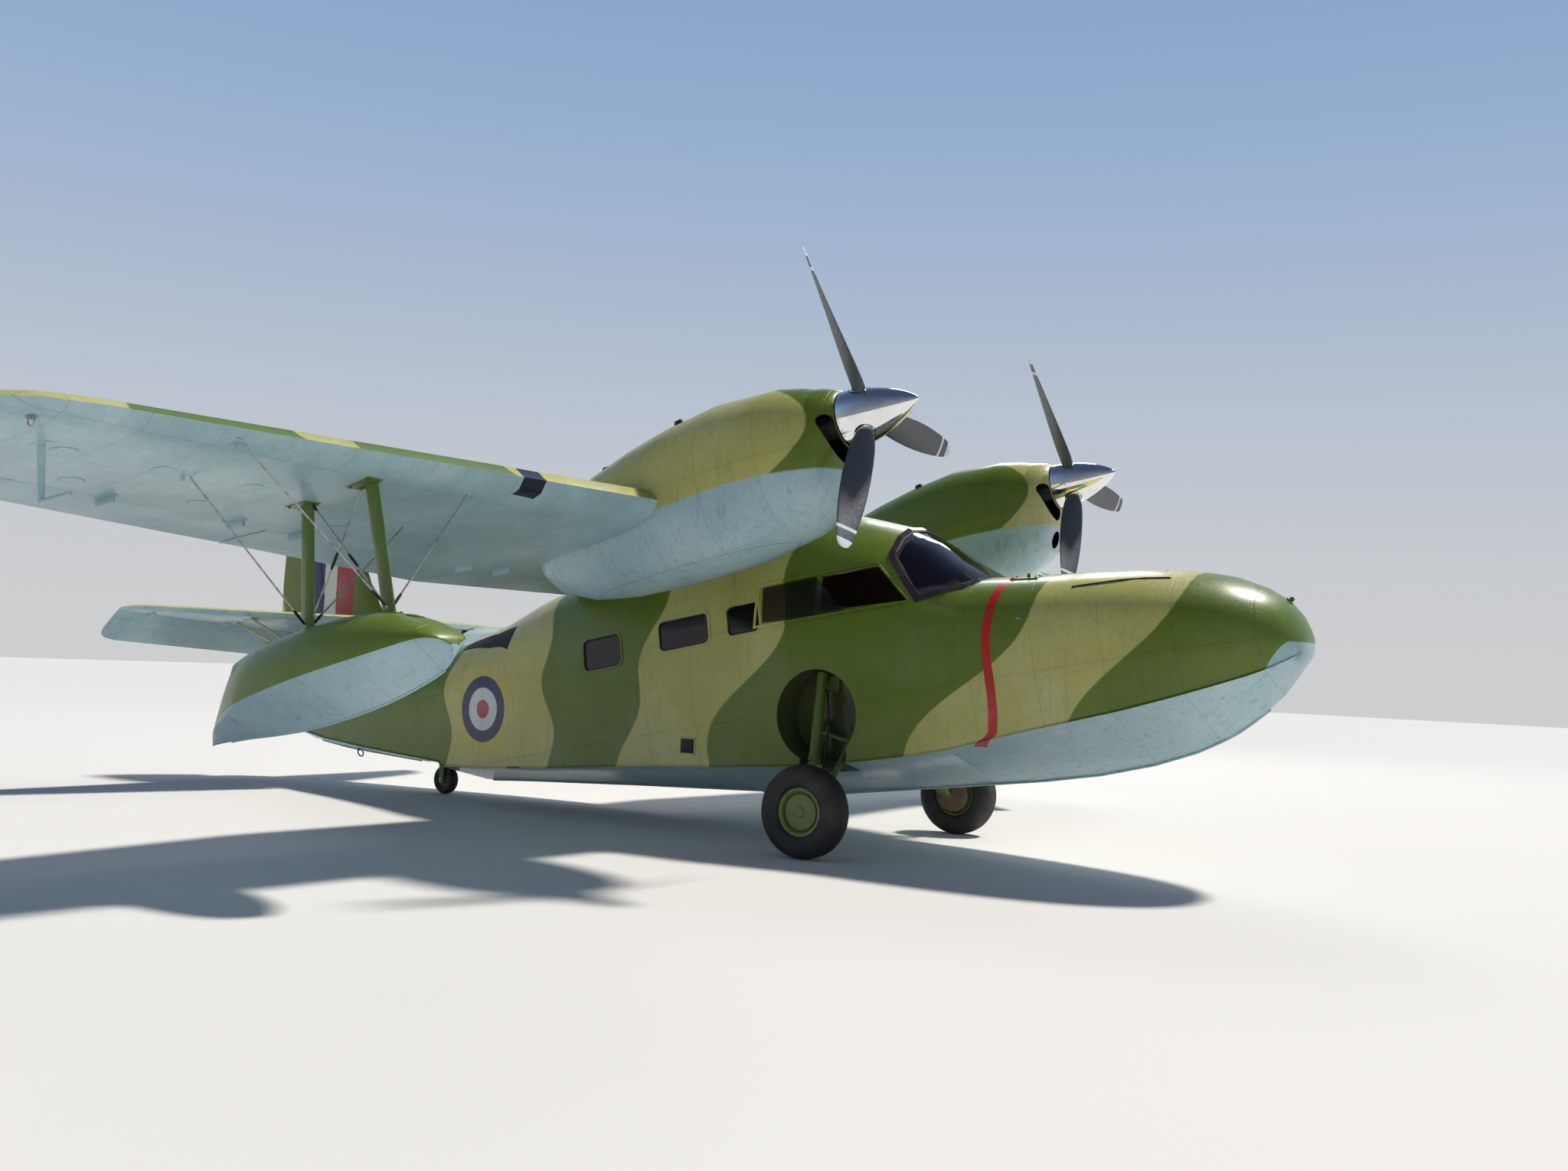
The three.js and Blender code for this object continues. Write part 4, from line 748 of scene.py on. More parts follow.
def patch(node_name, name, body, finish, cuts, lift=0.0012, thick=0.003):
    """A plate that follows part of a CAD node's skin: what lies beyond a cut is left out."""
    made = welded(node_name)
    for point, beyond in cuts:
        everything = made.verts[:] + made.edges[:] + made.faces[:]
        bmesh.ops.bisect_plane(made, geom=everything, dist=1e-6, plane_co=point, plane_no=beyond,
                               clear_outer=True)
    made.normal_update()
    moves = [(vert, vert.normal.copy()) for vert in made.verts]
    for vert, normal in moves:
        vert.co += normal * lift
    bmesh.ops.solidify(made, geom=made.faces[:], thickness=thick)
    bmesh.ops.recalc_face_normals(made, faces=made.faces)
    return fitted(made, name, body, finish)


LIGHT_INNER, LIGHT_OUTER, LIGHT_AFT, LIGHT_TOP = 3.03, 3.20, 1.165, 2.262
for sign, side in SIDE_NAMES.items():
    patch(f"wing_{side}", f"landing_light_{side}", "airframe", lamp_glass, [
        ((0, sign * LIGHT_INNER, 0), (0, -sign, 0)), ((0, sign * LIGHT_OUTER, 0), (0, sign, 0)),
        ((LIGHT_AFT, 0, 0), (-1, 0, 0)), ((0, 0, LIGHT_TOP), (0, 0, 1))])

STRIP_AT, STRIP_ACROSS, STRIP_HALF = Vector((-1.59, -0.459, 0)), Vector((0.27, 0.963, 0)), 0.05
patch("hull_tail", "rear_deck_strip", "airframe", rubber, [
    (STRIP_AT + STRIP_ACROSS * STRIP_HALF, STRIP_ACROSS),
    (STRIP_AT - STRIP_ACROSS * STRIP_HALF, -STRIP_ACROSS),
    ((-1.93, 0, 0), (-1, 0, 0)), ((-1.25, 0, 0), (1, 0, 0)), ((0, 0, 1.1), (0, 0, -1))])

# round inspection covers in the underside, and the hinge brackets of flaps and ailerons
SCREW_RING, BRACKET, BRACKET_MIDDLE = 0.052, (0.15, 0.018, 0.050), (-0.03, 0, 0.014)
for sign, side in SIDE_NAMES.items():
    made = bmesh.new()
    for x, ys in ((0.62, (2.5, 3.0, 3.5, 4.5, 5.0, 5.5)), (0.20, (2.3, 2.9, 3.6, 4.5, 5.2))):
        for y in ys:
            at = seat_on(f"wing_{side}", (x, sign * y, 0.5), (0, 0, 1))
            add_disc(made, at, 0.062, 0.0025, sides=28)
            for turn in range(6):
                spot = (SCREW_RING * cos(turn * pi / 3), SCREW_RING * sin(turn * pi / 3))
                add_disc(made, at, 0.004, 0.0042, sides=8, middle=spot)
    fitted(made, f"inspection_covers_{side}", "airframe", wing_under)
    made = bmesh.new()
    for y, x in ((2.25, -0.10), (3.0, -0.06), (3.65, -0.03), (4.1, 0.0), (4.9, 0.04), (5.6, 0.07)):
        at = seat_on(f"wing_{side}", (x, sign * y, 0.5), (0, 0, 1))
        add_block(made, at, BRACKET, middle=BRACKET_MIDDLE, bevel=0.006)
        add_disc(made, at, 0.020, 0.004, middle=(0.045, 0))
    fitted(made, f"hinge_brackets_{side}", "airframe", wing_under)
    made = bmesh.new()
    for y in (1.0, 1.95):
        at = seat_on("wing_center", (-0.05, sign * y, 0.5), (0, 0, 1))
        add_block(made, at, BRACKET, middle=BRACKET_MIDDLE, bevel=0.006)
    fitted(made, f"inner_brackets_{side}", "airframe", wing_under)

# the wing tips' coloured lamps, and the mast for air speed under the starboard wing
for side, sign, colour in (("port", 1, (0.55, 0.01, 0.01, 1)), ("starboard", -1, (0.01, 0.30, 0.10, 1))):
    deep = tuple(channel * 0.6 for channel in colour[:3]) + (1,)
    tip_glass = clouded(f"tip lamp {side}", (80.0,), colour, deep, (0.3, 0.8, 0.05, 0.16),
                        extra={"Coat Weight": 1.0})
    made = bmesh.new()
    shape = Matrix.Translation((0.84, sign * 6.020, 2.105)) @ Matrix.Diagonal((0.075, 0.034, 0.030, 1))
    bmesh.ops.create_uvsphere(made, u_segments=20, v_segments=12, radius=1, matrix=shape)
    fitted(made, f"tip_lamp_{side}", "airframe", tip_glass)

made = bmesh.new()
at = seat_on("wing_starboard", (0.66, -5.63, 0.5), (0, 0, 1))
foot = at.translation
elbow = foot + Vector((0.03, 0, -0.26))
add_block(made, at, (0.11, 0.05, 0.006))
add_rod(made, foot + Vector((0, 0, 0.01)), elbow, 0.018, 0.015)
bmesh.ops.create_uvsphere(made, u_segments=16, v_segments=10, radius=0.0155,
                          matrix=Matrix.Translation(elbow))
add_rod(made, elbow, elbow + Vector((0.22, 0, 0.035)), 0.015, 0.008)
fitted(made, "air_speed_mast", "airframe", wing_under)


def ring_of(made, at, radius, thick, steps=28):
    """A round ring standing on edge, in the matrix's XZ plane."""
    middle = at @ Vector((0, 0, radius))
    across = at.to_3x3() @ Vector((0, 1, 0))
    outward = at.to_3x3() @ Vector((1, 0, 0))
    section = bmesh.ops.create_circle(made, segments=10, radius=thick)["verts"]
    turn = Matrix((outward, across, outward.cross(across))).transposed().to_4x4()
    bmesh.ops.transform(made, matrix=Matrix.Translation(middle + outward * radius) @ turn, verts=section)
    bmesh.ops.spin(made, geom=section + edges_at(section), cent=middle, axis=across, angle=2 * pi,
                   steps=steps, use_merge=True)


for sign, side in SIDE_NAMES.items():
    made = bmesh.new()
    at = seat_on(f"wing_{side}", (0.93, sign * 5.84, 0.5), (0, 0, 1))
    ring_of(made, at @ Matrix.Translation((0, 0, -0.004)), 0.024, 0.004)
    bmesh.ops.recalc_face_normals(made, faces=made.faces)
    add_disc(made, at, 0.022, 0.004)
    fitted(made, f"mooring_ring_{side}", "airframe", steel)


# The nacelles: riveted cowlings built into the wing, camouflaged above and blue
# below, hollow at the front round the engine, and closed there by a spun nose
# bowl with a kidney-shaped intake on each side and a round one at the chin.
HUB_X, HUB_Y, HUB_Z = 2.498, 1.634, 2.745
THRUST_TILT = radians(13.7)
SHAFT = Vector((cos(THRUST_TILT), 0, sin(THRUST_TILT)))
SHAFT_UP = Vector((-sin(THRUST_TILT), 0, cos(THRUST_TILT)))


def shaft_axes(tree, x, z):
    """How far a place lies along the shaft from a propeller's hub, and how far above it."""
    from_hub = calc(tree, "SUBTRACT", x, HUB_X)
    above_hub = calc(tree, "SUBTRACT", z, HUB_Z)
    return [calc(tree, "MULTIPLY_ADD", from_hub, way.x, calc(tree, "MULTIPLY", above_hub, way.z))
            for way in (SHAFT, SHAFT_UP)]


def cowl_colours(fore, aft):
    """Colours that change at a bowed line behind the propeller, over a wavy line to the blue."""
    def colours(tree, place):
        x, _, z = node(tree, "SeparateXYZ", {0: place}).outputs
        along, up = shaft_axes(tree, x, z)
        bulge = calc(tree, "MULTIPLY_ADD", calc(tree, "MULTIPLY", up, up), -3.2, -0.235)
        step = calc(tree, "MULTIPLY_ADD", calc(tree, "SUBTRACT", along, bulge), 80.0, 0.5, clamp=True)
        upper = mixed(tree, step, aft, fore)
        dip = calc(tree, "MULTIPLY", calc(tree, "SINE", calc(tree, "MULTIPLY_ADD", along, 3.4, 1.2)), 0.022)
        below = calc(tree, "SUBTRACT", calc(tree, "SUBTRACT", -0.292, dip), up)
        share = calc(tree, "MULTIPLY_ADD", below, 80.0, 0.5, clamp=True)
        return mixed(tree, share, upper, SKY_BLUE)
    return colours


def cowl_zone(sign):
    """0 for a face outside, 1 for one inside."""
    def zone(face):
        spot = face.calc_center_median() - Vector((HUB_X, sign * HUB_Y, HUB_Z))
        along, up = spot.dot(SHAFT), spot.dot(SHAFT_UP)
        facing = face.normal.dot(SHAFT)
        inward = spot.y * face.normal.y + (up + 0.15) * face.normal.dot(SHAFT_UP) < 0
        wall = abs(facing) > 0.98 and along < -0.205
        return int(-1.13 < along < -0.192 and (inward or facing < -0.5 or wall))
    return zone


# the cowling's hollow inside and the walls of the intakes, near black: painted shade
cowl_painted_shade = clouded("cowl inside painted shade", (14.0, 4.0), (0.006, 0.006, 0.006, 1), (0.030, 0.030, 0.026, 1),
                      (0.3, 0.7, 0.6, 0.9))
cast, tree, shader, place = material("cast engine metal")
oily = noise(tree, place, 20.0, 5.0)
pits = noise(tree, place, 260.0)
feed(tree, shader, {
    "Base Color": mixed(tree, oily, (0.05, 0.048, 0.045, 1), (0.24, 0.24, 0.24, 1)),
    "Roughness": ramp(tree, oily, 0.3, 0.7, 0.35, 0.7), "Metallic": 0.8,
    "Normal": node(tree, "Bump", {"Height": pits, "Strength": 0.3, "Distance": 0.001}).outputs[0],
})


def shaft_place(sign, along, across, up):
    """A point about a propeller's hub."""
    return Vector((HUB_X, sign * HUB_Y + across, HUB_Z)) + SHAFT * along + SHAFT_UP * up


def spun(profile, centre, axis, steps):
    """A closed outline of (distance along, radius) pairs turned round an axis."""
    made = bmesh.new()
    out = Vector((0, 0, 1)) if abs(axis.z) < 0.8 else Vector((1, 0, 0))
    out = (out - axis * out.dot(axis)).normalized()
    spine = [made.verts.new(centre + axis * along + out * radius) for along, radius in profile]
    edges = [made.edges.new(pair) for pair in zip(spine, spine[1:] + spine[:1])]
    bmesh.ops.spin(made, geom=spine + edges, cent=centre, axis=axis, angle=2 * pi, steps=steps,
                   use_merge=True)
    bmesh.ops.remove_doubles(made, verts=made.verts, dist=1e-5)
    bmesh.ops.recalc_face_normals(made, faces=made.faces)
    return made


# the nose bowl, a spun and dished ring that closes the cowling round the spinner, with a
# kidney-shaped intake on each side and the round one in the chin
BOWL_BACK, BOWL_FRONT, BOWL_RADIUS, BOWL_WALL, BOWL_BULGE = -0.245, -0.105, 0.180, 0.009, 1.5
BOWL_DROP, CHIN_BULGE, BOWL_ROWS = -0.10, 0.45, 15
KIDNEY_RADIUS, KIDNEY_HALF, KIDNEY_TOP, KIDNEY_END = 0.234, 0.045, radians(-8), radians(-72)
CHIN_ACROSS, CHIN_UP, CHIN_RADIUS = -0.020, -0.405, 0.063


def bridge_rings(made, rings):
    """Joins each ring of vertices to the next, and gives back the rings' edges."""
    loops = [edges_at(ring) for ring in rings]
    for first, second in zip(loops, loops[1:]):
        bmesh.ops.bridge_loops(made, edges=first + second)
    return loops


def bowl(sign, steps=96):
    """The bowl as a closed ring with a wall, flatter towards the chin."""
    back, front = [], []
    middle = shaft_place(sign, BOWL_BACK, 0, BOWL_DROP)
    for index in range(steps):
        turn = 2 * pi * index / steps
        out = Vector((0, cos(turn), 0)) + SHAFT_UP * sin(turn)
        edge = shells[f"nacelle_{SIDE_NAMES[sign]}"].ray_cast(middle + out, -out)[0]
        back.append((edge + out * 0.0015, edge - out * BOWL_WALL))
        rim_spot = shaft_place(sign, BOWL_FRONT, 0, 0) + out * BOWL_RADIUS
        front.append((rim_spot, rim_spot - SHAFT * BOWL_WALL))
    made = bmesh.new()
    rings = []
    rows = [(0, row) for row in range(BOWL_ROWS)] + [(1, row) for row in reversed(range(BOWL_ROWS))]
    for wall, row in rows:
        share = row / (BOWL_ROWS - 1) * pi / 2
        rings.append(bmesh.ops.create_circle(made, segments=steps, radius=1)["verts"])
        for index, (vert, start, end) in enumerate(zip(rings[-1], back, front)):
            bulge = BOWL_BULGE + CHIN_BULGE * max(0.0, -sin(2 * pi * index / steps)) ** 2
            gap = end[wall] - start[wall]
            forward = SHAFT * gap.dot(SHAFT)
            aside = (gap - forward) * (1 - abs(cos(share)) ** bulge)
            vert.co = start[wall] + forward * sin(share) ** bulge + aside
    bridge_rings(made, rings + rings[:1])
    bmesh.ops.recalc_face_normals(made, faces=made.faces)
    return made


def intake_cutters(sign):
    """Straight plugs along the shaft for the two kidneys and the chin's intake."""
    made = bmesh.new()
    outlines = []
    for mirror in (-1, 1):
        spots = []
        for grow in (1, -1):
            for step in range(25):
                share = step / 24 if grow > 0 else 1 - step / 24
                angle = KIDNEY_TOP + (KIDNEY_END - KIDNEY_TOP) * share
                spots.append((angle, KIDNEY_RADIUS + grow * KIDNEY_HALF))
            end = KIDNEY_END if grow > 0 else KIDNEY_TOP
            for step in range(1, 8):
                swing = pi * step / 8
                round_end = end - grow * sin(swing) * KIDNEY_HALF / KIDNEY_RADIUS
                spots.append((round_end, KIDNEY_RADIUS + grow * KIDNEY_HALF * cos(swing)))
        outlines.append([(mirror * cos(angle) * radius, sin(angle) * radius) for angle, radius in spots])
    turns = [2 * pi * step / 40 for step in range(40)]
    outlines.append([(CHIN_ACROSS + CHIN_RADIUS * cos(turn), CHIN_UP + CHIN_RADIUS * sin(turn))
                     for turn in turns])
    for outline in outlines:
        plug = bmesh.ops.create_circle(made, cap_ends=True, segments=len(outline), radius=1)["verts"]
        for vert, (across, up) in zip(plug, outline):
            vert.co = shaft_place(sign, -0.02, across, up)
        faces = list(dict.fromkeys(face for vert in plug for face in vert.link_faces))
        grown = bmesh.ops.extrude_face_region(made, geom=faces)["geom"]
        moved = [part for part in grown if isinstance(part, bmesh.types.BMVert)]
        bmesh.ops.translate(made, verts=moved, vec=-SHAFT * 0.40)
    bmesh.ops.recalc_face_normals(made, faces=made.faces)
    return made


def cut(made, knife):
    """What is left of one solid outside the other."""
    bodies = []
    for shape in (made, knife):
        data = bpy.data.meshes.new("solid")
        shape.to_mesh(data)
        shape.free()
        bodies.append(bpy.data.objects.new("solid", data))
        bpy.context.scene.collection.objects.link(bodies[-1])
    trim = bodies[0].modifiers.new("cut", "BOOLEAN")
    trim.operation, trim.solver, trim.object = "DIFFERENCE", "EXACT", bodies[1]
    left = bodies[0].evaluated_get(bpy.context.evaluated_depsgraph_get())
    result = bmesh.new()
    result.from_mesh(left.to_mesh())
    left.to_mesh_clear()
    for body in bodies:
        data = body.data
        bpy.data.objects.remove(body)
        bpy.data.meshes.remove(data)
    return result


COWL_PAINTS = {STARBOARD: (GREEN, TAN), PORT: (TAN, GREEN)}
for sign, side in SIDE_NAMES.items():
    cowl_paint = painted(f"cowl paint {side}", cowl_colours(*COWL_PAINTS[sign]),
                         ((0, 1, 0.42), (2, 0, 0.48)), THRUST_TILT, streaks=0.7)
    made = welded(f"nacelle_{side}")
    shells[f"nacelle_{side}"] = BVHTree.FromBMesh(made)
    everything = made.verts[:] + made.edges[:] + made.faces[:]
    bmesh.ops.bisect_plane(made, geom=everything, dist=1e-6, plane_no=SHAFT, clear_outer=True,
                           plane_co=shaft_place(sign, BOWL_BACK + 0.004, 0, 0))
    smooth(made, 40)
    # faces inside the cowling take the painted shade
    zone = cowl_zone(sign)
    for face in made.faces:
        face.material_index = zone(face)
    placed(made, f"nacelle_{side}_skin", "airframe", (cowl_paint, cowl_painted_shade),
           (f"nacelle_{side}",))
    ring = bowl(sign)
    outside = BVHTree.FromBMesh(ring)
    made = cut(ring, intake_cutters(sign))
    smooth(made, 30)
    # in the bowl the intakes' walls and the inward faces take the painted shade
    middle = shaft_place(sign, BOWL_BACK, 0, BOWL_DROP)
    for face in made.faces:
        spot = face.calc_center_median()
        gap = outside.find_nearest(spot)[3]
        inward = (spot - middle).dot(face.normal) < 0 and face.normal.dot(SHAFT) < 0.3
        face.material_index = int(gap > 0.0006 or inward)
    placed(made, f"nose_bowl_{side}", "airframe", (cowl_paint, cowl_painted_shade))
    skin(f"engine_{side}", "airframe", (cast,))
    made = bmesh.new()
    for across, along in ((-0.20, -1.20), (0.12, -0.66)):
        start = shaft_place(sign, along, across, 1.0)
        at = seat_on(f"nacelle_{side}", start, -SHAFT_UP, SHAFT)
        add_disc(made, at, 0.034, 0.016, tip=0.030)
        add_block(made, at, (0.050, 0.012, 0.012), middle=(0, 0, 0.020))
    fitted(made, f"filler_caps_{side}", "airframe", dark_metal)
    made = bmesh.new()
    for across in (-0.10, 0.10):
        start = shaft_place(sign, -1.84, across, 1.0)
        spot = shells[f"nacelle_{side}"].ray_cast(start, -SHAFT_UP)[0] - SHAFT_UP * 0.008
        add_rod(made, spot + SHAFT * 0.05, spot - SHAFT * 0.075, 0.024, 0.027, sides=24)
    fitted(made, f"exhausts_{side}", "airframe", dark_metal)


# The propellers: three forged blades, dark grey with white tip bands, in a
# hub under a polished spun spinner; dark rings of painted shade show where
# the blades enter.
chrome, tree, shader, place = material("polished spinner")
swirl = node(tree, "TexNoise", {"Vector": place, "Scale": 320.0, "Detail": 2.0}).outputs[0]
haze = noise(tree, place, 7.0, 3.0)
ripple = noise(tree, place, 9.0, 1.0)
feed(tree, shader, {
    "Base Color": mixed(tree, ramp(tree, haze, 0.4, 0.8), (0.88, 0.88, 0.90, 1), (0.74, 0.74, 0.76, 1)),
    "Roughness": calc(tree, "MULTIPLY_ADD", swirl, 0.03, ramp(tree, haze, 0.4, 0.8, 0.03, 0.12)),
    "Normal": node(tree, "Bump", {"Height": ripple, "Strength": 0.15, "Distance": 0.01}).outputs[0],
    "Metallic": 1.0,
})

BLADE_REACH, BLADE_AHEAD, BLADE_TURN = 1.056, 0.030, 26
TIP_BANDS = ((0.908, 0.932), (0.998, 1.2))
# radius, chord, thickness, blade angle
BLADE_TABLE = (
    (0.120, 0.086, 0.078, 60), (0.165, 0.104, 0.070, 59),
    (0.215, 0.134, 0.054, 57), (0.300, 0.156, 0.038, 52),
    (0.400, 0.168, 0.030, 47), (0.520, 0.176, 0.024, 42),
    (0.640, 0.174, 0.020, 38), (0.760, 0.162, 0.017, 35),
    (0.860, 0.144, 0.014, 33), (0.940, 0.124, 0.012, 31),
    (0.990, 0.106, 0.010, 30), (1.025, 0.086, 0.008, 29),
    (1.048, 0.062, 0.006, 29), (BLADE_REACH, 0.028, 0.004, 29),
)


def within(tree, value, low, high, soft=0.002):
    """1 where a value lies between two others, with a soft step at each."""
    return calc(tree, "MULTIPLY", ramp(tree, value, low - soft, low + soft),
                ramp(tree, value, high - soft, high + soft, 1.0, 0.0))


def blade_colours(sign):
    """Dark grey, worn, with white bands at their distances from the hub."""
    made, tree, shader, place = material(f"blade paint {SIDE_NAMES[sign]}")
    x, y, z = node(tree, "SeparateXYZ", {0: place}).outputs
    reach = distance(tree, calc(tree, "SUBTRACT", y, sign * HUB_Y), shaft_axes(tree, x, z)[1])
    wear = noise(tree, place, 60.0, 5.0)
    shown = mixed(tree, wear, (0.052, 0.060, 0.072, 1), (0.085, 0.095, 0.110, 1))
    for start, stop in TIP_BANDS:
        worn = ramp(tree, wear, 0.25, 0.45, 0.7, 1.0)
        band = calc(tree, "MULTIPLY", within(tree, reach, start, stop), worn)
        shown = mixed(tree, band, shown, (0.75, 0.78, 0.80, 1))
    feed(tree, shader, {"Base Color": shown, "Roughness": ramp(tree, wear, 0.3, 0.7, 0.32, 0.5)})
    return made


def blade_way(turn):
    """The way outward from the shaft at a turn about it."""
    return Vector((0, -sin(turn), 0)) + SHAFT_UP * cos(turn)


def add_blade(made, sign, turn):
    """One twisted blade, from its round shank to its rounded tip."""
    ahead_of = Vector((0, -cos(turn), 0)) - SHAFT_UP * sin(turn)
    rings = []
    for radius, chord, thick, angle in BLADE_TABLE:
        lean = radians(angle)
        rings.append(bmesh.ops.create_circle(made, segments=28, radius=1)["verts"])
        for index, vert in enumerate(rings[-1]):
            step = 2 * pi * index / len(rings[-1])
            # past the round shank the blade's rear face is flatter
            flat = 1 if sin(step) > 0 or radius < 0.2 else 0.6
            u, v = chord / 2 * cos(step), thick / 2 * sin(step) * flat
            offset = SHAFT * (u * sin(lean) + v * cos(lean)) + ahead_of * (u * cos(lean) - v * sin(lean))
            vert.co = shaft_place(sign, BLADE_AHEAD, 0, 0) + blade_way(turn) * radius + offset
    loops = bridge_rings(made, rings)
    bmesh.ops.edgeloop_fill(made, edges=loops[0] + loops[-1])


SPINNER_BACK, SPINNER_TIP, SPINNER_RADIUS = -0.098, 0.372, 0.178
# the spinner's hollow back, as distances along the shaft and radii
SPINNER_INSIDE = ((-0.098, 0.172), (-0.092, 0.170), (-0.02, 0.160), (0.1, 0.128), (0.2, 0.092),
                  (0.3, 0.046), (0.345, 0.0))


def spinner_radius(along):
    """The spinner's outline: its radius at a place along the shaft."""
    share = min(max((along - SPINNER_BACK) / (SPINNER_TIP - SPINNER_BACK), 0.0), 1.0)
    return SPINNER_RADIUS * (1 - share ** 1.65) ** 0.74


for sign, side in SIDE_NAMES.items():
    centre = shaft_place(sign, 0, 0, 0)
    made = bmesh.new()
    add_rod(made, centre - SHAFT * 0.157, centre + SHAFT * 0.088, 0.064, 0.058, sides=32)
    root = shaft_place(sign, BLADE_AHEAD, 0, 0)
    turns = [radians(BLADE_TURN + 120 * third) for third in range(3)]
    for turn in turns:
        outward = blade_way(turn)
        add_rod(made, root + outward * 0.02, root + outward * 0.125, 0.040, sides=24)
        add_blade(made, sign, turn)
    bmesh.ops.recalc_face_normals(made, faces=made.faces)
    smooth(made, 50)
    placed(made, f"propeller_blades_{side}", f"propeller_{side}", (blade_colours(sign),),
           (f"propeller_{side}",))
    stations = [SPINNER_TIP + (SPINNER_BACK - SPINNER_TIP) * (step / 36) ** 1.6 for step in range(37)]
    outline = [(along, spinner_radius(along)) for along in stations] + list(SPINNER_INSIDE)
    made = spun(outline, centre, SHAFT, 96)
    smooth(made, 50)
    placed(made, f"spinner_shell_{side}", f"propeller_{side}", (chrome,),
           (f"spinner_{side}",))
    # black rings on the spinner round each blade's root: painted shade where the blades pass into it
    made = bmesh.new()
    for outward in map(blade_way, turns):
        around = outward.cross(SHAFT)
        disc = bmesh.ops.create_circle(made, cap_ends=True, cap_tris=False, segments=40, radius=0.062)
        for vert in disc["verts"]:
            along, aside = BLADE_AHEAD + vert.co.x * 1.05, vert.co.y
            radius = spinner_radius(along) + 0.0012
            height = (radius * radius - aside * aside) ** 0.5
            vert.co = centre + SHAFT * along + around * aside + outward * height
    bmesh.ops.solidify(made, geom=made.faces[:], thickness=0.002)
    bmesh.ops.recalc_face_normals(made, faces=made.faces)
    fitted(made, f"blade_root_shade_rings_{side}", f"propeller_{side}", rubber)
    made = bmesh.new()
    for screw in range(24):
        outward = blade_way(2 * pi * screw / 24)
        spot = centre - SHAFT * 0.086 + outward * (spinner_radius(-0.086) - 0.002)
        add_rod(made, spot, spot + outward * 0.0035, 0.0045, 0.0035, sides=8)
    fitted(made, f"spinner_screws_{side}", f"propeller_{side}", steel)


# The floats: small riveted hulls, green above the chine and pale blue below,
# each carried on two streamlined struts with crossing wires and four stays.
float_green = painted("float green", GREEN, ((0, 1, 0.36), (1, 0, 0.4)), radians(14), fading=0.4)
float_blue = painted("float pale blue", SKY_BLUE, ((0, 1, 0.36),), radians(14), fading=0.4)
FLOAT_Y = 4.05
STRUT_LINES = (((1.175, 1.400), (0.965, 2.150)), ((0.565, 1.290), (0.500, 2.010)))
# lower and upper ends in port's place: x, y, z
STAYS = (
    ((1.175, 4.05, 1.425), (0.500, 4.05, 2.010)),
    ((0.565, 4.05, 1.315), (0.965, 4.05, 2.150)),
    ((1.175, 4.05, 1.425), (1.080, 4.95, 2.178)),
    ((1.175, 4.05, 1.425), (1.070, 3.42, 2.130)),
    ((0.565, 4.05, 1.315), (0.600, 4.88, 2.055)),
    ((0.565, 4.05, 1.315), (0.440, 3.29, 1.960)),
)
STAY_UPPER, STAY_LOWER, STAY_CROSS = (0.90, 0.965), (0.05, 0.11), (0.40, 0.47)
# stations of the float: x, keel z, chine z, half width, deck z; the stern is a leaning wedge
FLOAT_STATIONS = (
    (1.640, 1.205, 1.262, 0.022, 1.270),
    (1.612, 1.160, 1.292, 0.096, 1.310), (1.540, 1.110, 1.284, 0.168, 1.352),
    (1.400, 1.042, 1.234, 0.232, 1.394),
    (1.200, 0.958, 1.170, 0.272, 1.413), (0.950, 0.876, 1.098, 0.290, 1.390),
    (0.650, 0.797, 1.010, 0.288, 1.325),
    (0.380, 0.744, 0.925, 0.252, 1.252), (0.220, 0.716, 0.865, 0.190, 1.205),
    (0.090, 0.684, 0.800, 0.110, 1.158),
    (0.010, 0.662, 0.735, 0.050, 1.124), (-0.030, 0.650, 0.690, 0.012, 1.104),
)
STERN_RAKE, STERN_START, DECK_SQUARE, CHINE_LIP, KEEL_LENGTH = 0.30, 0.65, 2.2, 0.008, 1.58


def float_station(share):
    """The station at a share of the float's length, read smoothly between the rows."""
    at = share * (len(FLOAT_STATIONS) - 1)
    index = min(int(at), len(FLOAT_STATIONS) - 2)
    part = at - index
    rows = [FLOAT_STATIONS[min(max(index + step, 0), len(FLOAT_STATIONS) - 1)] for step in (-1, 0, 1, 2)]
    values = []
    for before, low, high, after in zip(*rows):
        bend = 2 * before - 5 * low + 4 * high - after + (3 * low - before - 3 * high + after) * part
        values.append(low + part * (high - before + part * bend) / 2)
    return values


def float_point(station, angle):
    """A point of the float's section: keel at -90 degrees, chine at 0, deck at 90."""
    x, keel, chine, half, deck = station
    side = 1 if cos(angle) >= 0 else -1
    if sin(angle) < 0:
        slope = min(abs(atan2(sin(angle), abs(cos(angle)))) / (pi / 2), 1.0)
        across, z = (half + CHINE_LIP * (half > 0.05)) * (1 - slope), chine + (keel - chine) * slope
    else:
        across = half * abs(cos(angle)) ** (2 / DECK_SQUARE)
        z = chine + (deck - chine) * abs(sin(angle)) ** (2 / DECK_SQUARE)
    rake = STERN_RAKE * max(0.0, min(1.0, (STERN_START - x) / STERN_START)) ** 2
    return Vector((x - (deck - z) * rake, side * across, z))


def strut_zone(face):
    """0 for the struts, 1 for the wires."""
    spot = face.calc_center_median()
    for (foot_x, foot_z), (head_x, head_z) in STRUT_LINES:
        share = (spot.z - foot_z) / (head_z - foot_z)
        middle = foot_x + share * (head_x - foot_x)
        if abs(abs(spot.y) - FLOAT_Y) < 0.021 and abs(spot.x - middle) < 0.052:
            return 0
    return 1


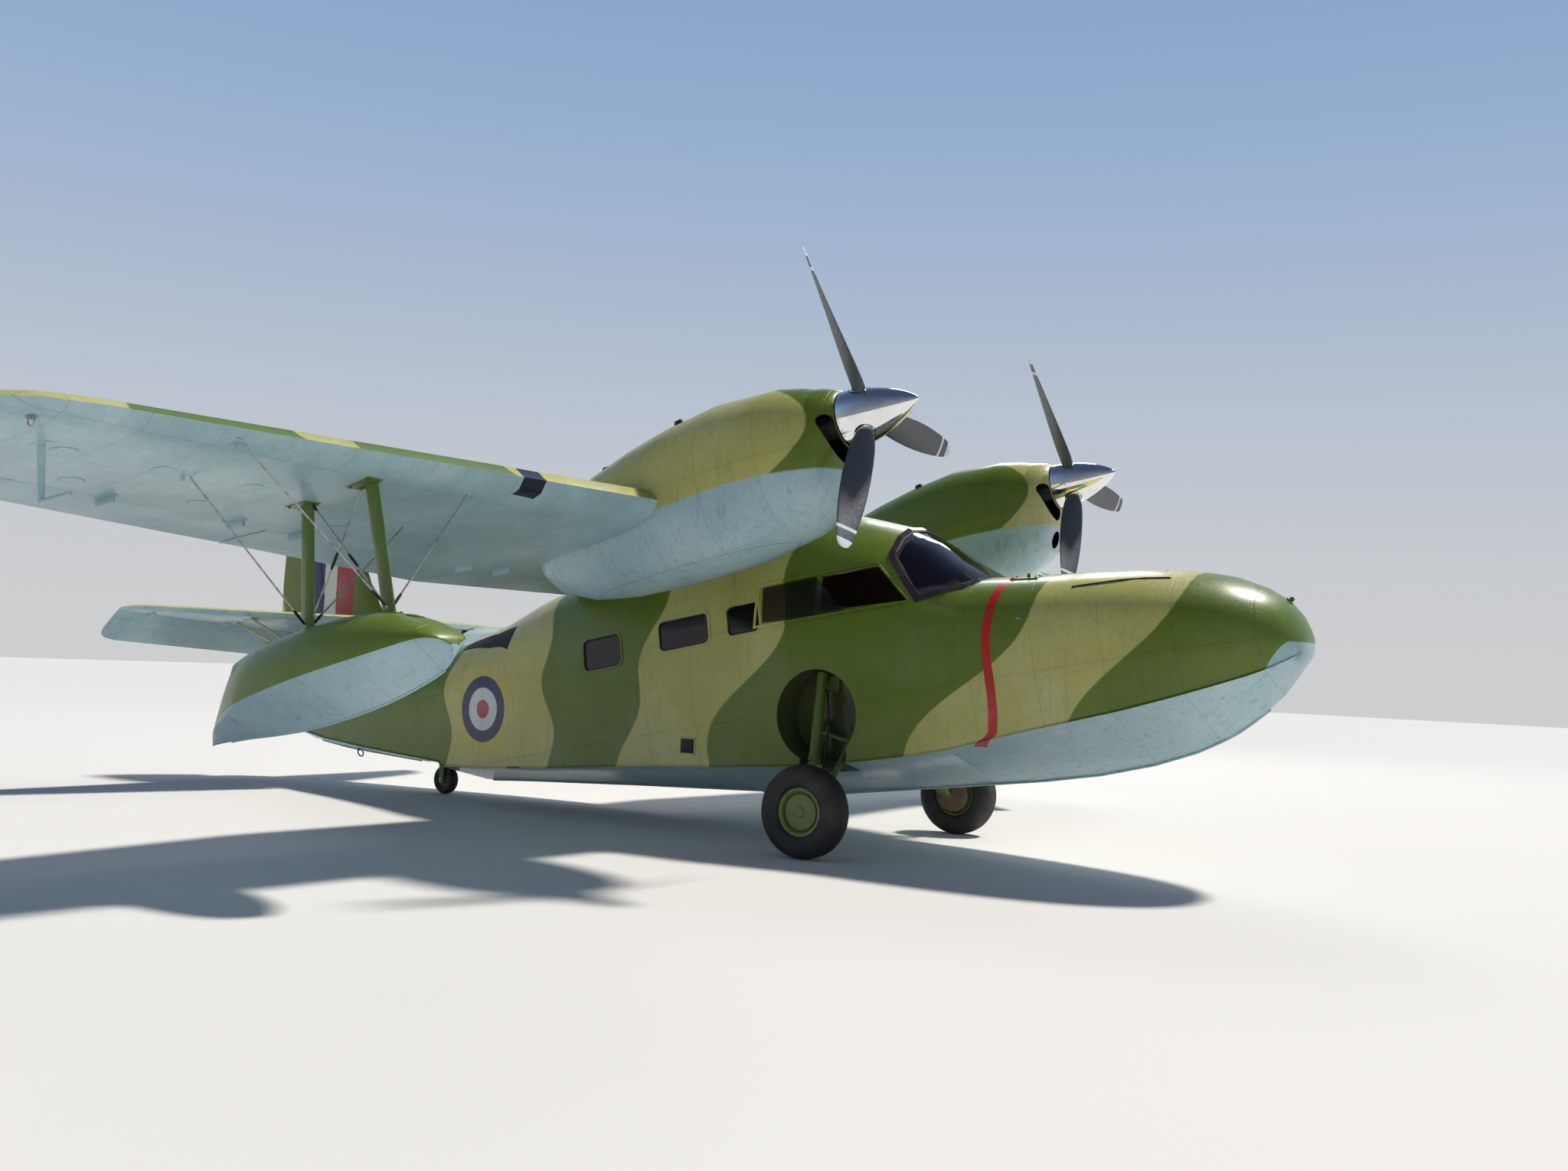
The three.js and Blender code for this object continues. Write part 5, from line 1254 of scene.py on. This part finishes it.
for sign, side in SIDE_NAMES.items():
    made = bmesh.new()
    below = made.verts.layers.int.new("below the chine")
    rings = []
    for step in range(67):
        station = float_station(step / 66)
        rings.append(bmesh.ops.create_circle(made, segments=48, radius=1)["verts"])
        for index, vert in enumerate(rings[-1]):
            vert.co = float_point(station, 2 * pi * index / 48) + Vector((0, sign * FLOAT_Y, 0))
            vert[below] = index > 24
    loops = bridge_rings(made, rings)
    bmesh.ops.edgeloop_fill(made, edges=loops[0] + loops[-1])
    bmesh.ops.remove_doubles(made, verts=made.verts, dist=0.0003)
    bmesh.ops.recalc_face_normals(made, faces=made.faces)
    smooth(made, 34)
    for face in made.faces:
        face.material_index = any(vert[below] for vert in face.verts)
    shells[f"float_{side}"] = BVHTree.FromBMesh(made)
    placed(made, f"float_{side}_skin", "airframe", (float_green, float_blue), (f"float_{side}",))
    skin(f"float_struts_{side}", "airframe", (strut_green, steel), strut_zone, sharp=60)
    made = bmesh.new()
    for foot, head in STRUT_LINES:
        at = seat_on(f"wing_{side}", (head[0], sign * FLOAT_Y + 0.03 * sign, 0.5), (0, 0, 1))
        add_block(made, at, (0.17, 0.10, 0.008), bevel=0.003)
        add_bolts(made, at, 0.065, 0.035, 0.008, 0.013)
        at = seat_on(f"float_{side}", (foot[0], sign * FLOAT_Y + 0.002, 3.0), (0, 0, -1))
        add_block(made, at, (0.12, 0.075, 0.010), bevel=0.003)
        add_bolts(made, at, 0.05, 0.027, 0.006, 0.010)
    fitted(made, f"strut_plates_{side}", "airframe", strut_green)
    made = bmesh.new()
    for index, (foot, head) in enumerate(STAYS):
        low, high = Vector((foot[0], sign * foot[1], foot[2])), Vector((head[0], sign * head[1], head[2]))
        spans = (STAY_LOWER,) if index > 1 else (STAY_CROSS, STAY_UPPER)
        for start, stop in spans:
            ends = [low.lerp(high, share) for share in (start, stop)]
            add_rod(made, *ends, 0.0080, sides=8)
            add_rod(made, ends[0].lerp(ends[1], -0.3), ends[0], 0.0055, 0.0075, sides=8)
            add_rod(made, ends[1], ends[0].lerp(ends[1], 1.3), 0.0075, 0.0055, sides=8)
    fitted(made, f"turnbuckles_{side}", "airframe", dark_metal)
    made = bmesh.new()
    for foot, head in STAYS[2:]:
        at = seat_on(f"wing_{side}", (head[0], sign * head[1], 0.5), (0, 0, 1))
        add_block(made, at, (0.07, 0.03, 0.006))
        add_block(made, at, (0.030, 0.008, 0.030), middle=(0, 0, 0.013), bevel=0.003)
    fitted(made, f"stay_lugs_{side}", "airframe", wing_under)
    made = bmesh.new()
    for x in (1.36, 0.30):
        at = seat_on(f"float_{side}", (x, sign * FLOAT_Y, 3.0), (0, 0, -1))
        add_disc(made, at, 0.045, 0.003, sides=28)
        add_block(made, at, (0.040, 0.007, 0.004), middle=(0, 0, 0.004), bevel=0.001)
    fitted(made, f"float_caps_{side}", "airframe", float_green)
    made = bmesh.new()
    spots = []
    for step in range(25):
        x = KEEL_LENGTH - KEEL_LENGTH * step / 24
        start = Vector((x, sign * FLOAT_Y + 0.001, -1))
        spot = shells[f"float_{side}"].ray_cast(start, Vector((0, 0, 1)))[0]
        spots.append(Vector((x, sign * FLOAT_Y, spot.z)))
    add_chain(made, spots, 0.008, sides=8)
    fitted(made, f"float_keel_{side}", "airframe", float_blue)


# The tail: fin and tailplane fixed to the hull, with hinged rudder and
# elevators, camouflaged above and blue below, and a V strut under each half.
TAIL_EDGES = ((-4.69, -0.10, 0.06, 5.0, 0.6, 0.0), (-3.02, 0.30, 0.05, 6.0, 1.4, 0.0))
PLANE_EDGES = ((-1.45, 0.35, 0.10, 5.0, 0.0, 0.0), (-0.62, -0.30, 0.08, 6.0, 1.0, 0.0),
               (0.75, 0.30, 0.10, 5.0, 2.0, 0.0), (1.62, -0.35, 0.08, 6.0, 0.5, 0.0))
# aft end of each colour of the fin flash, from the front
FLASH_START, FLASH_LOW, FLASH_HIGH = -3.70, 1.49, 2.10
FLASH_BANDS = ((-3.93, (0.36, 0.010, 0.014, 1)), (-4.10, (0.66, 0.68, 0.66, 1)),
               (-4.27, (0.020, 0.028, 0.12, 1)))
PLANE_SEAMS = ((1, 0, 0.30), (0, 1, 0.45))
# the trim tabs: where each begins and ends along its hinge, and the plane of its front edge
ELEVATOR_TAB_INNER, ELEVATOR_TAB_OUTER = 0.45, 1.05
ELEVATOR_TAB_FRONT = ((-4.09, 0, 1.19), (0.67, 0, 0.74))
RUDDER_TAB_LOW, RUDDER_TAB_HIGH, RUDDER_TAB_FRONT = 1.12, 1.62, ((-4.60, 0, 1.40), (1, 0, 0.15))


def tail_colours(tree, place):
    """The fin's and rudder's bands, with the flash in three colours."""
    x, y, z = node(tree, "SeparateXYZ", {0: place}).outputs
    shown = mixed(tree, bands(tree, x, z, y, TAIL_EDGES), GREEN, TAN)
    tall = within(tree, z, FLASH_LOW, FLASH_HIGH)
    fore = FLASH_START
    for aft, colour in FLASH_BANDS:
        band = calc(tree, "MULTIPLY", within(tree, x, aft, fore), tall)
        shown = mixed(tree, band, shown, colour)
        fore = aft
    return shown


def plane_colours(tree, place):
    """The tailplane's bands above."""
    x, y, z = node(tree, "SeparateXYZ", {0: place}).outputs
    return mixed(tree, bands(tree, y, x, z, PLANE_EDGES), TAN, GREEN)


fin_paint = painted("fin camouflage", tail_colours, ((2, 0, 0.33), (0, 2, 0.48)))
plane_top = painted("tailplane camouflage", plane_colours, PLANE_SEAMS)
plane_under = painted("tailplane pale blue", SKY_BLUE, PLANE_SEAMS, fading=0.8, streaks=0.4)
strut_tan = painted("tail strut tan", (0.20, 0.225, 0.065, 1), (), fading=0.4, streaks=0.7)


def plane_zone(face):
    """0 above, 1 below."""
    return 0 if face.normal.dot(Vector((-sin(DATUM_TILT), 0, cos(DATUM_TILT)))) > 0.04 else 1


def elevator_zone(face):
    """0 above, 1 below, for a surface that hangs down at rest."""
    return 0 if face.normal.dot(Vector((-0.55, 0, 0.83))) > 0.04 else 1


skin("fin", "airframe", (fin_paint,), sharp=50)
skin("rudder", "rudder", (fin_paint,), sharp=50)
for sign, side in SIDE_NAMES.items():
    skin(f"tailplane_{side}", "airframe", (plane_top, plane_under), plane_zone, sharp=50)
    skin(f"elevator_{side}", f"elevator_{side}", (plane_top, plane_under), elevator_zone, sharp=50)
    skin(f"tail_strut_{side}", "airframe", (strut_tan,), sharp=60)
    made = bmesh.new()
    for y in (0.55, 1.30, 2.0):
        at = seat_on(f"tailplane_{side}", (-3.80, sign * y, 0.5), (0, 0, 1))
        add_block(made, at, (0.10, 0.014, 0.040), middle=(-0.02, 0, 0.010), bevel=0.005)
    for x in (-3.56, -3.75):
        at = seat_on(f"tailplane_{side}", (x, sign * 1.29, 0.5), (0, 0, 1))
        add_block(made, at, (0.11, 0.07, 0.006))
        add_bolts(made, at, 0.04, 0.022, 0.005, 0.010)
    fitted(made, f"tail_fittings_{side}", "airframe", plane_under)
    cuts = [((0, sign * ELEVATOR_TAB_INNER, 0), (0, -sign, 0)),
            ((0, sign * ELEVATOR_TAB_OUTER, 0), (0, sign, 0)), ELEVATOR_TAB_FRONT]
    tab = patch(f"elevator_{side}", f"elevator_tab_{side}", f"elevator_{side}", plane_top, cuts)
    tab.data.materials.append(plane_under)
    for face in tab.data.polygons:
        face.material_index = elevator_zone(face)
patch("rudder", "rudder_tab", "rudder", fin_paint,
      [((0, 0, RUDDER_TAB_LOW), (0, 0, -1)), ((0, 0, RUDDER_TAB_HIGH), (0, 0, 1)), RUDDER_TAB_FRONT])
made = bmesh.new()
at = seat_on("hull_tail", (-3.55, 0.001, -1), (0, 0, 1))
add_disc(made, at, 0.026, 0.006)
ring_of(made, at, 0.034, 0.006)
bmesh.ops.recalc_face_normals(made, faces=made.faces)
fitted(made, "tail_mooring_ring", "airframe", dark_metal)


# The main gear: on each side an upright leg of thick tube in the hull's well,
# an arm out to the axle, a side link with its brace, and a hydraulic hose.
LEG_X, LEG_Y, LEG_TOP, SLEEVE_TOP = 1.652, 0.600, 1.190, 0.860
KNEE = (1.665, 0.690, 0.560)
WHEEL_X, WHEEL_Y, WHEEL_Z, AXLE_FOOT_Y = 1.875, 1.115, 0.300, 0.950


def mirrored(sign, spot):
    """A port point, or its mirror image on starboard."""
    return Vector((spot[0], sign * spot[1], spot[2]))


def add_hose(made, points, radius):
    """A hose through points, as a chain of short round lengths with balls at the bends."""
    add_chain(made, points, radius)
    for point in points[1:-1]:
        bmesh.ops.create_uvsphere(made, u_segments=10, v_segments=6, radius=radius,
                                  matrix=Matrix.Translation(point))


def curve_points(ends, count=14):
    """Points of a smooth curve through four corner points."""
    spots = []
    for step in range(count + 1):
        share = step / count
        rest = 1 - share
        weights = (rest ** 3, 3 * share * rest ** 2, 3 * share * share * rest, share ** 3)
        spots.append(sum((corner * weight for corner, weight in zip(ends, weights)), Vector()))
    return spots


for sign, side in SIDE_NAMES.items():
    skin(f"main_leg_{side}", "airframe", (strut_green,), sharp=50)
    top, knee = mirrored(sign, (LEG_X, LEG_Y, LEG_TOP)), mirrored(sign, KNEE)
    sleeve = mirrored(sign, (LEG_X, LEG_Y, SLEEVE_TOP))
    foot = mirrored(sign, (WHEEL_X, AXLE_FOOT_Y, WHEEL_Z))
    made = bmesh.new()
    down = (knee - sleeve).normalized()
    add_rod(made, sleeve - down * 0.012, sleeve + down * 0.020, 0.050, sides=36)
    add_rod(made, sleeve + down * 0.030, sleeve + down * 0.040, 0.047, sides=36)
    add_rod(made, knee - down * 0.060, knee - down * 0.030, 0.050, sides=36)
    add_rod(made, top - Vector((0, 0, 0.002)), top + Vector((0, 0, 0.010)), 0.030, 0.024, sides=28)
    arm = (foot - knee).normalized()
    add_rod(made, foot - arm * 0.10, foot - arm * 0.075, 0.038, sides=32)
    add_rod(made, knee + arm * 0.10, knee + arm * 0.12, 0.039, sides=32)
    fitted(made, f"leg_collars_{side}", "airframe", strut_green)
    made = bmesh.new()
    for x, z, wide, tall in ((LEG_X + 0.0155, 1.115, 0.115, 0.075), (1.8725, 0.75, 0.050, 0.070)):
        for u in (-wide / 2, wide / 2):
            for v in (-tall / 2, tall / 2):
                spot = mirrored(sign, (x + u, 0.505, z + v))
                add_rod(made, spot, spot + Vector((0, sign * 0.024, 0)), 0.0085, sides=6)
    for height in (0.42, 0.20):
        bolt = knee.lerp(foot, height) + Vector((0, 0, 0.02))
        add_rod(made, bolt - Vector((0.044, 0, 0)), bolt + Vector((0.044, 0, 0)), 0.009, sides=8)
    add_rod(made, knee + Vector((-0.056, 0, 0)), knee + Vector((0.056, 0, 0)), 0.022, sides=24)
    add_rod(made, knee + Vector((-0.062, 0, 0)), knee + Vector((0.062, 0, 0)), 0.012, sides=6)
    fitted(made, f"gear_bolts_{side}", "airframe", steel)
    made = bmesh.new()
    corners = (sleeve + Vector((0.046, 0, 0.22)), sleeve + Vector((0.13, sign * 0.06, -0.12)),
               knee + Vector((0.12, sign * 0.08, 0.02)), foot + Vector((-0.02, -sign * 0.02, 0.045)))
    add_hose(made, curve_points(corners), 0.0075)
    union = corners[0]
    add_rod(made, union + Vector((-0.014, 0, 0.0)), union + Vector((0.004, 0, -0.02)), 0.012, sides=6)
    fitted(made, f"brake_hose_{side}", "airframe", rubber)

# the wheels: ribbed tyres on dished pressed rims, painted green, with a brake
# plate inboard
tyre_rubber, tree, shader, place = material("tyre rubber")
scuffs = noise(tree, place, 26.0, 5.0, 0.7)
dust = ramp(tree, noise(tree, place, 6.0, 3.0), 0.42, 0.75, 0.0, 0.5)
worn = mixed(tree, scuffs, (0.008, 0.008, 0.009, 1), (0.030, 0.029, 0.029, 1))
feed(tree, shader, {
    "Base Color": mixed(tree, calc(tree, "MULTIPLY", dust, scuffs), worn, (0.13, 0.12, 0.10, 1)),
    "Roughness": ramp(tree, scuffs, 0.3, 0.75, 0.50, 0.80),
    "Normal": node(tree, "Bump", {"Height": scuffs, "Strength": 0.3, "Distance": 0.001}).outputs[0],
})
wheel_green = painted("wheel green", (0.155, 0.205, 0.050, 1), (), fading=0.4, streaks=0.8)
brake_brown = clouded("brake plate", (28.0, 5.0, 0.7), (0.10, 0.055, 0.035, 1), (0.26, 0.17, 0.12, 1),
                      (0.3, 0.7, 0.5, 0.8))

# half of the tyre's outline from bead to tread: distance from the middle, radius
TYRE_SIDE = (
    (0.066, 0.1580), (0.076, 0.1610), (0.084, 0.1680), (0.0895, 0.1800), (0.0925, 0.2000), (0.0945, 0.2200),
    (0.0948, 0.2400), (0.0950, 0.2430), (0.0936, 0.2450),
    (0.0915, 0.2580), (0.0860, 0.2700), (0.0780, 0.2810),
    (0.0680, 0.2890), (0.0600, 0.2928), (0.0520, 0.2955),
)
GROOVES, GROOVE_HALF, GROOVE_DEPTH, TREAD_RADIUS = (-0.038, -0.013, 0.013, 0.038), 0.003, 0.007, 0.300
# each groove's section: how far aside of its middle, and how deep
GROOVE_SECTION = ((GROOVE_HALF, 0), (GROOVE_HALF * 0.7, GROOVE_DEPTH), (-GROOVE_HALF * 0.7, GROOVE_DEPTH),
                  (-GROOVE_HALF, 0))
TYRE_WIDTH, TYRE_BEAD = 0.190, 0.158


def tyre_outline(reach, width, bead):
    """The tyre's closed outline, scaled from the main tyre's."""
    def scaled(along, radius):
        share = (radius - TYRE_SIDE[0][1]) / (TREAD_RADIUS - TYRE_SIDE[0][1])
        return along * width / TYRE_WIDTH, bead + share * (reach - bead)
    sides = [scaled(along, radius) for along, radius in reversed(TYRE_SIDE)]
    spots = sides[:]
    for groove in reversed(GROOVES):
        crown = TREAD_RADIUS - 1.4 * groove * groove
        for offset, drop in GROOVE_SECTION:
            spots.append(scaled(groove + offset, crown - drop))
        if groove == GROOVES[2]:
            spots.append(scaled(0, TREAD_RADIUS))
    spots.sort(key=lambda spot: -spot[0])
    tread = [spot for spot in spots if abs(spot[0]) < sides[0][0] - 1e-6]
    return list(reversed(sides)) + tread + [(-along, radius) for along, radius in sides]


# the main rim's outline, from the cap outboard to the bore inboard: distance outboard, radius
RIM_OUTLINE = (
    (0.0698, 0.0), (0.0698, 0.026), (0.0680, 0.031), (0.0610, 0.034), (0.0580, 0.038), (0.0555, 0.050),
    (0.0545, 0.080), (0.0550, 0.105), (0.0535, 0.112), (0.0490, 0.1165), (0.0350, 0.1180), (0.0330, 0.1210),
    (0.0350, 0.1260), (0.0520, 0.1290), (0.0640, 0.1330),
    (0.0700, 0.1390), (0.0718, 0.1460), (0.0718, 0.1530),
    (0.0690, 0.1568), (0.0640, 0.1577), (-0.0640, 0.1577), (-0.0715, 0.1530), (-0.0700, 0.1450),
    (-0.0400, 0.1360), (-0.0300, 0.1250), (-0.0390, 0.0600),
    (-0.0390, 0.0305), (0.0650, 0.0305), (0.0650, 0.0),
)
for sign, side in SIDE_NAMES.items():
    body, outboard = f"main_wheel_{side}", Vector((0, sign, 0))
    centre = Vector((WHEEL_X, sign * WHEEL_Y, WHEEL_Z))
    made = spun(tyre_outline(TREAD_RADIUS, TYRE_WIDTH, TYRE_BEAD), centre, outboard, 96)
    smooth(made, 40)
    placed(made, f"main_tyre_tread_{side}", body, (tyre_rubber,), (f"main_tyre_{side}",))
    made = spun(list(RIM_OUTLINE), centre, outboard, 72)
    smooth(made, 32)
    placed(made, f"main_rim_{side}", body, (wheel_green,), (f"main_hub_{side}",))
    made = bmesh.new()
    for count, ring, start, stop, radius in ((8, 0.092, 0.050, 0.0600, 0.0060),
                                             (6, 0.0205, 0.066, 0.0712, 0.0028)):
        for turn in range(count):
            angle = 2 * pi * turn / count + 0.2
            spot = centre + Vector((cos(angle) * ring, 0, sin(angle) * ring))
            add_rod(made, spot + outboard * start, spot + outboard * stop, radius, sides=6)
    valve = centre + Vector((0.122, 0, 0)) + outboard * 0.032
    add_rod(made, valve, valve + outboard * 0.030 - Vector((0.004, 0, 0)), 0.004, 0.003, sides=10)
    fitted(made, f"wheel_bolts_{side}", body, wheel_green)
    made = bmesh.new()
    add_rod(made, centre - outboard * 0.112, centre - outboard * 0.100, 0.118, 0.126, sides=64)
    add_rod(made, centre - outboard * 0.126, centre - outboard * 0.110, 0.060, sides=40)
    for turn in range(8):
        angle = 2 * pi * turn / 8
        spot = centre + Vector((cos(angle) * 0.088, 0, sin(angle) * 0.088)) - outboard * 0.110
        add_rod(made, spot, spot - outboard * 0.010, 0.0075, sides=6)
    fitted(made, f"brake_plate_{side}", "airframe", brake_brown)


# The tail wheel: a small ribbed tyre on a turned hub, in a welded fork whose
# pivot leans back in the well.
TAIL_X, TAIL_Z, TAIL_WIDTH, TAIL_BEAD = -2.455, 0.121, 0.078, 0.062
skin("tail_fork", "tail_fork", (strut_green,), sharp=40)
skin("tail_hub", "tail_wheel", (wheel_green,), sharp=30)
centre = Vector((TAIL_X, 0, TAIL_Z))
made = spun(tyre_outline(TAIL_Z, TAIL_WIDTH, TAIL_BEAD), centre, Vector((0, 1, 0)), 72)
smooth(made, 40)
placed(made, "tail_tyre_tread", "tail_wheel", (tyre_rubber,), ("tail_tyre",))
made = bmesh.new()
for side in (-1, 1):
    spot = centre + Vector((0, side * 0.0618, 0))
    add_rod(made, spot, spot + Vector((0, side * 0.005, 0)), 0.019, sides=28)
    add_rod(made, spot, spot + Vector((0, side * 0.014, 0)), 0.011, sides=6)
    for x in (-0.016, 0.016):
        spot = Vector((TAIL_X + x, side * 0.0615, 0.236))
        add_rod(made, spot, spot + Vector((0, side * 0.005, 0)), 0.006, sides=6)
fitted(made, "tail_fork_nuts", "tail_fork", steel)


# The cabin: two front seats and a bench, padded in brown hide on painted
# frames, the instrument panel with its dials, the pedestal and the yoke.
hide, tree, shader, place = material("brown hide")
pores = noise(tree, place, 210.0, 4.0)
creases = noise(tree, place, 16.0, 5.0, 0.7)
aged = mixed(tree, creases, (0.085, 0.040, 0.022, 1), (0.19, 0.10, 0.055, 1))
folds = calc(tree, "MULTIPLY_ADD", creases, 3.0, pores)
feed(tree, shader, {
    "Base Color": mixed(tree, ramp(tree, pores, 0.5, 0.8, 0.0, 0.4), aged, (0.03, 0.015, 0.010, 1)),
    "Roughness": ramp(tree, creases, 0.3, 0.8, 0.36, 0.62),
    "Normal": node(tree, "Bump", {"Height": folds, "Strength": 0.4, "Distance": 0.002}).outputs[0],
})
seat_paint = painted("seat frame green", (0.12, 0.14, 0.085, 1), (), fading=0.4, streaks=0.4)
crackle, tree, shader, place = material("black crackle paint")
grit = noise(tree, place, 130.0, 3.0)
feed(tree, shader, {
    "Base Color": mixed(tree, grit, (0.008, 0.008, 0.009, 1), (0.030, 0.030, 0.032, 1)),
    "Roughness": ramp(tree, grit, 0.3, 0.7, 0.5, 0.75),
    "Normal": node(tree, "Bump", {"Height": grit, "Strength": 0.4, "Distance": 0.001}).outputs[0],
})
dial_white = clouded("dial face", (150.0, 2.0), (0.012, 0.012, 0.013, 1), (0.5, 0.5, 0.45, 1),
                     (0.3, 0.7, 0.08, 0.2), edges=(0.55, 0.6))


def cushion(name, middle, size, lean, stands_for=()):
    """A crowned cushion: thick in the middle, drawn in between its corners, with a rolled edge."""
    made = bmesh.new()
    bmesh.ops.create_cube(made, size=2)
    bmesh.ops.subdivide_edges(made, edges=made.edges[:], cuts=11, use_grid_fill=True)
    for vert in made.verts:
        u, v, w = vert.co
        crown = 0.66 + 0.34 * ((1 - u ** 6) * (1 - v ** 6)) ** 0.5
        roll = 1 - 0.05 * w * w
        vert.co = Vector((u * roll * (0.97 + 0.03 * v * v), v * roll * (0.97 + 0.03 * u * u), w * crown))
    half = Matrix.Diagonal((*(side / 2 for side in size), 1))
    turn = Matrix.Rotation(lean, 4, "Y")
    bmesh.ops.transform(made, matrix=Matrix.Translation(middle) @ turn @ half, verts=made.verts)
    smooth(made, 180)
    piece = placed(made, name, "airframe", (hide,), stands_for)
    finer = piece.modifiers.new("rounding", "SUBSURF")
    finer.levels = finer.render_levels = 1


SEATS = (("pilot_seat", 1.780, 0.235, 0.40), ("copilot_seat", 1.780, -0.235, 0.40),
         ("cabin_bench", -0.250, -0.050, 0.90))
FLOOR_SLOPE, BACK_LEAN = 0.16, -radians(6.7)
for name, x, y, width in SEATS:
    floor_z = 0.430 + (x + 1.0) * FLOOR_SLOPE
    cushion(name + "_pad", (x + 0.02, y, floor_z + 0.262), (0.42, width, 0.130), 0.0, (name,))
    cushion(name + "_back", (x - 0.195, y, floor_z + 0.535), (0.095, width, 0.520), BACK_LEAN)
    made = bmesh.new()
    plain = Matrix.Translation((x, y, floor_z))
    add_block(made, plain, (0.43, width - 0.01, 0.125), middle=(0, 0, 0.133), bevel=0.02)
    lean = plain @ Matrix.Translation((-0.235, 0, 0.49)) @ Matrix.Rotation(BACK_LEAN, 4, "Y")
    add_block(made, lean, (0.020, width - 0.02, 0.56), bevel=0.008)
    for u in (-0.16, 0.16):
        for v in (-width / 2 + 0.06, width / 2 - 0.06):
            foot = Vector((x + u, y + v, floor_z + FLOOR_SLOPE * u + 0.002))
            add_rod(made, foot, (foot.x, foot.y, floor_z + 0.10), 0.014, sides=14)
            add_rod(made, foot, foot + Vector((0, 0, 0.008)), 0.030, 0.026, sides=20)
    fitted(made, name + "_frame", "airframe", seat_paint)

skin("instrument_panel", "airframe", (crackle,))
skin("control_yoke", "airframe", (crackle,))
DIALS = ((-0.36, 1.58), (-0.25, 1.58), (-0.14, 1.60), (0.0, 1.62), (0.14, 1.60), (0.25, 1.58), (0.36, 1.58),
         (-0.30, 1.46), (-0.19, 1.47), (-0.07, 1.48), (0.07, 1.48), (0.19, 1.47), (0.30, 1.46))
bezels, faces = bmesh.new(), bmesh.new()
for y, z in DIALS:
    spot = Vector((2.401, y, z))
    ring = [(-0.012, 0.046), (-0.012, 0.040), (-0.006, 0.038), (0.0, 0.038), (0.0, 0.048), (-0.009, 0.048)]
    dial = spun(ring, spot, Vector((1, 0, 0)), 32)
    data = bpy.data.meshes.new("dial ring")
    dial.to_mesh(data)
    dial.free()
    bezels.from_mesh(data)
    bpy.data.meshes.remove(data)
    add_rod(faces, spot, spot - Vector((0.004, 0, 0)), 0.0385, sides=32)
for y in (-0.05, 0.0, 0.05):
    knob = Vector((2.322, y, 1.24))
    add_rod(bezels, knob, knob + Vector((-0.09, 0, 0.05)), 0.005, sides=10)
    ball = Matrix.Translation(knob + Vector((-0.095, 0, 0.053)))
    bmesh.ops.create_uvsphere(bezels, u_segments=16, v_segments=10, radius=0.017, matrix=ball)
fitted(bezels, "dial_rims_and_levers", "airframe", dark_metal)
fitted(faces, "dial_faces", "airframe", dial_white)

size = {"cad": [list(corner) for corner in cad_box], "visual": [list(corner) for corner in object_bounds()]}
